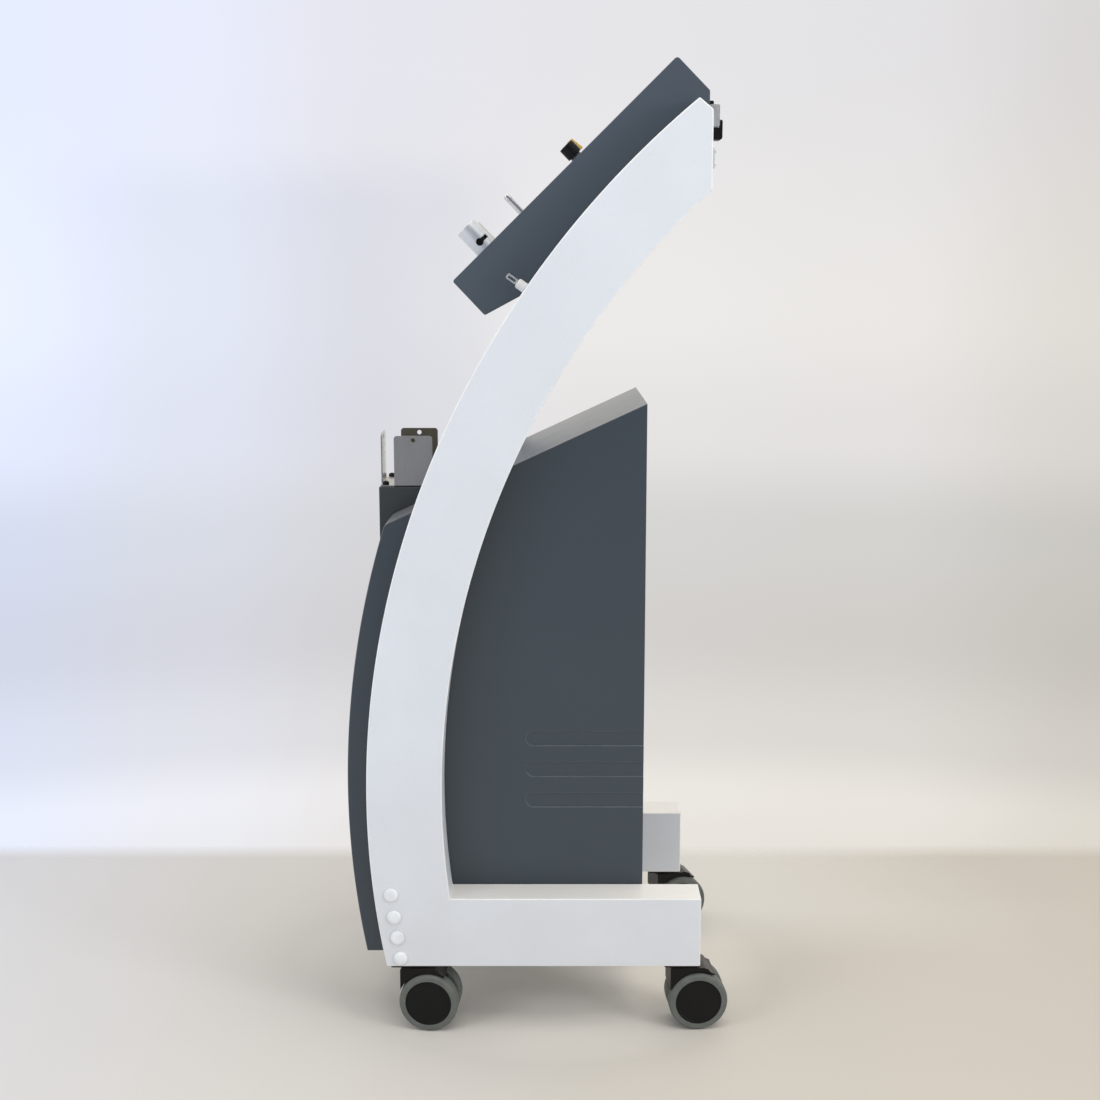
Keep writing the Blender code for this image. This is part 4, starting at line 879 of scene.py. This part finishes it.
piece("latch_bracket_body", box((LATCH_BASE, LATCH_Y - 0.0095, 1.1215), (LATCH_BASE + 0.0015, LATCH_Y + 0.0095, 1.1425)), ZINC, "console",
      ["latch_bracket"],
      joins=[prism(ear, LATCH_Y - 0.0095, LATCH_Y - 0.0080), prism(ear, LATCH_Y + 0.0080, LATCH_Y + 0.0095),
             cylinder_between((px, LATCH_Y - 0.0102, pz), (px, LATCH_Y + 0.0102, pz), 0.0019, 28)], edge=(0.00025, 2, 50), angle=32)
lm = Matrix.Translation((px, LATCH_Y, pz))
piece("latch_lever_body", prism([(0.0038 * math.cos(a), 0.0038 * math.sin(a)) for a in [math.radians(-30 + 240 * k / 30) for k in range(31)]]
                                + [(-0.0022, -0.0290), (0.0022, -0.0290)], -0.0070, 0.0070), ZINC, "latch", ["latch_lever"],
      cuts=[cylinder_between((0, -0.02, 0), (0, 0.02, 0), 0.0022, 28)], matrix=lm, edge=(0.00025, 2, 50), angle=32)
grip = fillet([(-0.0060, -0.0330), (0.0085, -0.0330), (0.0085, -0.0105), (0.0060, -0.0095), (0.0060, -0.0186), (-0.0060, -0.0186)],
              [0.0015, 0.0035, 0.0020, 0, 0, 0.001], 6)
piece("latch_grip_body", prism(grip, -0.0110, 0.0110), BLACK, "latch", ["latch_grip"],
      cuts=[box((-0.0030, -0.0073, -0.0293), (0.0030, 0.0073, -0.0100))], matrix=lm, edge=(0.0004, 3, 45), angle=35)

plate_m = Matrix.Translation((TIP_X + GAP, -(FRAME_HALF - FRAME_T / 2), 0)) @ Matrix.Rotation(-math.pi / 2, 4, "Z")
piece("edge_plate_body", prism(rounded_rect(-0.0150, 1.0690, 0.0150, 1.0930, 0.0020), 0, 0.0026), PLATE_GREY, "console", ["edge_plate"],
      cuts=[cylinder_between((0, 0.0012, 1.0810), (0, 0.01, 1.0810), 0.0042, 32)], matrix=plate_m, edge=(0.0004, 2), angle=32)
piece("edge_plate_jack", lathe([(0.0022, 0), (0.0040, 0), (0.0040, 0.0022), (0.0036, 0.0026), (0.0026, 0.0026), (0.0022, 0.0022)], 40), ZINC, "console",
      matrix=Matrix.Translation((TIP_X + GAP + 0.0013, -0.158, 1.0810)) @ Matrix.Rotation(math.pi / 2, 4, "Y"), angle=35)
for k, (dy, z) in enumerate(((-0.011, 1.0885), (0.011, 1.0885), (-0.011, 1.0735), (0.011, 1.0735))):
    screw("edge_plate_screw_%d" % k, (TIP_X + GAP + 0.0026, -0.158 + dy, z), (1, 0, 0), 0.0026, 0.0019, ZINC, spin=0.6 * k)

# ------------------------------------------------------------ holder box and cradle
rise = GAP * math.sqrt(1 + TOP_SLOPE ** 2)
box_corner = line_meets_arc(TOP_Z0 + rise, COVER_C, COVER_R + GAP)
box_rear = (BOX_TOP - 0.0010 - TOP_Z0 - rise) / TOP_SLOPE
box_low = COVER_C[1] + math.sqrt((COVER_R + GAP) ** 2 - (COVER_C[0] - BOX_FRONT) ** 2)
side_arc = arc(COVER_C, COVER_R + GAP, box_corner[1], box_low, 14)
pts = [(BOX_FRONT, BOX_TOP), (box_rear, BOX_TOP), (box_rear, top_z(box_rear) + rise)] + side_arc
radii = [0.0012, 0, 0, COVER_FILLET + GAP] + [0] * 14
keep = [i for i in range(len(pts)) if i <= 3 or (Vector(pts[i]) - Vector(pts[3])).length > 0.0075]
piece("holder_box_body", prism(fillet([pts[i] for i in keep], [radii[i] for i in keep], 6), -BOX_HALF, BOX_HALF), CHARCOAL, "console", ["holder_box"],
      edge=(0.0010, 3, 35), angle=30)

floor_low = BOX_TOP + GAP
floor_top = floor_low + CRADLE_T
BEND = 0.0022


def bent_tab(width, top, matrix):
    """A tab that rises from the cradle's floor through a bend, in a local frame with the tab's outer face at local Y = 0."""
    t = CRADLE_T
    path = [(0.012, floor_low)] + [(BEND - BEND * math.sin(a), floor_low + BEND - BEND * math.cos(a)) for a in [math.pi / 2 * k / 8 for k in range(9)]]
    inner = [(t + (BEND - t) * (1 - math.sin(a)), floor_low + BEND - (BEND - t) * math.cos(a)) for a in [math.pi / 2 * k / 8 for k in range(8, -1, -1)]]
    profile = path + [(0, top), (t, top)] + inner + [(0.012, floor_top)]
    bm = bmesh.new()
    face = bm.faces.new([bm.verts.new((-width, y, z)) for y, z in profile])
    res = bmesh.ops.extrude_face_region(bm, geom=[face])
    bmesh.ops.translate(bm, verts=[g for g in res["geom"] if isinstance(g, bmesh.types.BMVert)], vec=(2 * width, 0, 0))
    bm.transform(matrix)
    return bm


def tab_trim(width, matrix):
    """What is cut away to round a tab's upper corners and drill its hole."""
    r, out_bm = 0.0040, bmesh.new()
    for s in (-1, 1):
        cx, cz = s * (width - r), CRADLE_TOP - r
        arc_pts = [(cx + s * r * math.sin(a), cz + r * math.cos(a)) for a in [math.pi / 2 * k / 10 for k in range(11)]]
        outline_pts = arc_pts + [(s * (width + 0.002), cz), (s * (width + 0.002), CRADLE_TOP + 0.002), (cx, CRADLE_TOP + 0.002)]
        add_prism(out_bm, outline_pts, -0.004, 0.006)
    bmesh.ops.create_cone(out_bm, cap_ends=True, segments=36, radius1=0.0029, radius2=0.0029, depth=0.02,
                          matrix=Matrix.Translation((0, 0, CRADLE_TOP - 0.0057)) @ Matrix.Rotation(math.pi / 2, 4, "X"))
    bmesh.ops.recalc_face_normals(out_bm, faces=out_bm.faces)
    out_bm.transform(matrix)
    return out_bm


tab_places = (
    Matrix.Translation((TAB_X, -CRADLE_HALF, 0)),
    Matrix.Translation((TAB_X, CRADLE_HALF, 0)) @ Matrix.Rotation(math.pi, 4, "Z"),
    Matrix.Translation((CRADLE_X[0], 0, 0)) @ Matrix.Rotation(-math.pi / 2, 4, "Z"),
    Matrix.Translation((CRADLE_X[1], 0, 0)) @ Matrix.Rotation(math.pi / 2, 4, "Z"),
)
floor_plate = prism([(CRADLE_X[0] + 0.0022, floor_low), (CRADLE_X[1] - 0.0022, floor_low), (CRADLE_X[1] - 0.0022, floor_top), (CRADLE_X[0] + 0.0022, floor_top)],
                    -CRADLE_HALF + 0.0022, CRADLE_HALF - 0.0022)
cradle = piece("holder_cradle_body", floor_plate, [BRUSHED_V, BRUSHED_H, BRUSHED_LIT, BRUSHED_SHADE], "console", ["holder_cradle"],
               joins=[bent_tab(TAB_HALF, CRADLE_TOP, m) for m in tab_places], cuts=[tab_trim(TAB_HALF, m) for m in tab_places],
               edge=(0.00020, 2, 50), angle=28, weld=2e-5)
# painted light: the front tab's inner face takes the lit copy and the far tab's inner face the painted-shade copy;
# floor faces take the horizontally brushed copy
for p in cradle.data.polygons:
    if abs(p.normal.z) > 0.8 and p.center.z < floor_top + 0.003:
        p.material_index = 1
    elif p.center.z > floor_top and p.normal.x > 0.6 and p.center.x < -0.20:
        p.material_index = 2
    elif p.center.z > floor_top and p.normal.y < -0.6 and p.center.y > 0.04:
        p.material_index = 3
for k, (x, y) in enumerate(((-0.197, -0.040), (-0.197, 0.040), (-0.125, -0.040), (-0.125, 0.040))):
    screw("cradle_screw_%d" % k, (x, y, floor_top), (0, 0, 1), 0.0042, 0.0047, BLACK, recess="hex", spin=0.5 * k)

# ------------------------------------------------------------ castors
HOOD_R, HOOD_TOP, PLATE_LOW = WHEEL_R + 0.0018, 0.0824, 0.0837
WEB_HALF, HOOD_HALF, AXLE_R = 0.0055, 0.0220, 0.0040


def around(r, degrees):
    return [(TRAIL + r * math.cos(math.radians(a)), WHEEL_R + r * math.sin(math.radians(a))) for a in degrees]


front_x = TRAIL - 0.0360
front_angle = math.degrees(math.acos(-0.0360 / HOOD_R))
hood_outline = around(HOOD_R, [front_angle + (60 - front_angle) * k / 40 for k in range(41)]) + around(HOOD_R + 0.0024, [60, 64, 68]) + fillet([
    (TRAIL + 0.0125, HOOD_TOP - 0.0022), (TRAIL + 0.0070, HOOD_TOP), (front_x, HOOD_TOP), (front_x, WHEEL_R + 0.02)],
    [0, 0.006, 0.003, 0], 6)[:-1]
web_outline = around(HOOD_R + 0.0012, [front_angle - 3 + (64 - front_angle + 3) * k / 30 for k in range(31)]) + around(0.0260, [20 - 220 * k / 40 for k in range(41)])
tyre_profile = smooth_profile([
    (HUB_R + GAP, 0.0008), (0.0340, 0.0004), (WHEEL_R, 0.0022), (WHEEL_R, 0.0150), (WHEEL_R - 0.0020, WHEEL_W - 0.0002), (HUB_R + 0.0008, WHEEL_W - 0.0002), (HUB_R + GAP, WHEEL_W - 0.0008)],
    [0, 0.003, 0.0026, 0.0050, 0.0024, 0.0004, 0], 7)
hub_profile = [(0, WHEEL_W - 0.0009), (0.0040, WHEEL_W - 0.0009), (0.0046, WHEEL_W - 0.0006), (0.0240, WHEEL_W - 0.0006), (0.0252, WHEEL_W - 0.0010), (0.0264, WHEEL_W - 0.0010),
               (0.0272, WHEEL_W - 0.0005), (HUB_R - 0.0006, WHEEL_W - 0.0005), (HUB_R, WHEEL_W - 0.0011), (HUB_R, 0.0014),
               (0.0110, 0.0014), (0.0095, 0.0010), (AXLE_R + 0.0004, 0.0010), (AXLE_R + 0.0004, 0.0150), (0, 0.0150)]

for name, x, side, degrees, reverse in CASTORS:
    ends = (-0.0190, 0.0262) if reverse else (-0.0262, 0.0190)
    mount = Matrix.Translation((x, side * CASTOR_Y, 0))
    plate = prism([(a, b) for a, b in rounded_rect(ends[0], -0.0210, ends[1], 0.0210, 0.004)], PLATE_LOW, LEG_BOTTOM - GAP)
    plate.transform(Matrix(((1, 0, 0, 0), (0, 0, 1, 0), (0, 1, 0, 0), (0, 0, 0, 1))))
    piece(name + "_plate_body", plate, FORK, "console", [name + "_plate"],
          joins=[cylinder_between((0, 0, 0.0750), (0, 0, LEG_BOTTOM - 0.001), 0.0050, 36)], matrix=mount, edge=(0.0003, 2), angle=32)
    for k, (ux, uy) in enumerate(((ends[0] + 0.0050, -0.0158), (ends[0] + 0.0050, 0.0158), (ends[1] - 0.0050, -0.0158), (ends[1] - 0.0050, 0.0158))):
        screw("%s_bolt_%d" % (name, k), mount @ Vector((ux, uy, PLATE_LOW)), (0, 0, -1), 0.0038, 0.0010, ZINC, spin=0.4 * k, recess="hex")
    swivel = mount @ Matrix.Rotation(math.radians(degrees), 4, "Z")
    piece(name + "_fork_body", prism(hood_outline, -HOOD_HALF, HOOD_HALF), FORK, name + "_fork", [name + "_fork"],
          joins=[prism(web_outline, -WEB_HALF, WEB_HALF), cylinder_between((TRAIL, -0.0210, WHEEL_R), (TRAIL, 0.0210, WHEEL_R), AXLE_R, 36)],
          cuts=[cylinder_between((0, 0, 0.0746), (0, 0, HOOD_TOP + 0.005), 0.0053, 40)], matrix=swivel, edge=(0.0009, 3, 38), angle=32)
    for k, w in ((-1, "a"), (1, "b")):
        m = swivel @ Matrix.Translation((TRAIL, k * (WHEEL_OUT - WHEEL_W), WHEEL_R)) @ Matrix.Rotation(k * -math.pi / 2, 4, "X")
        body = "%s_wheel_%s" % (name, w)
        piece("%s_tyre_%s_body" % (name, w), lathe(tyre_profile, 96), TYRE, body, ["%s_tyre_%s" % (name, w)], matrix=m, angle=40)
        piece("%s_hub_%s_body" % (name, w), lathe(hub_profile, 80), HUB, body, ["%s_hub_%s" % (name, w)], matrix=m, angle=30)
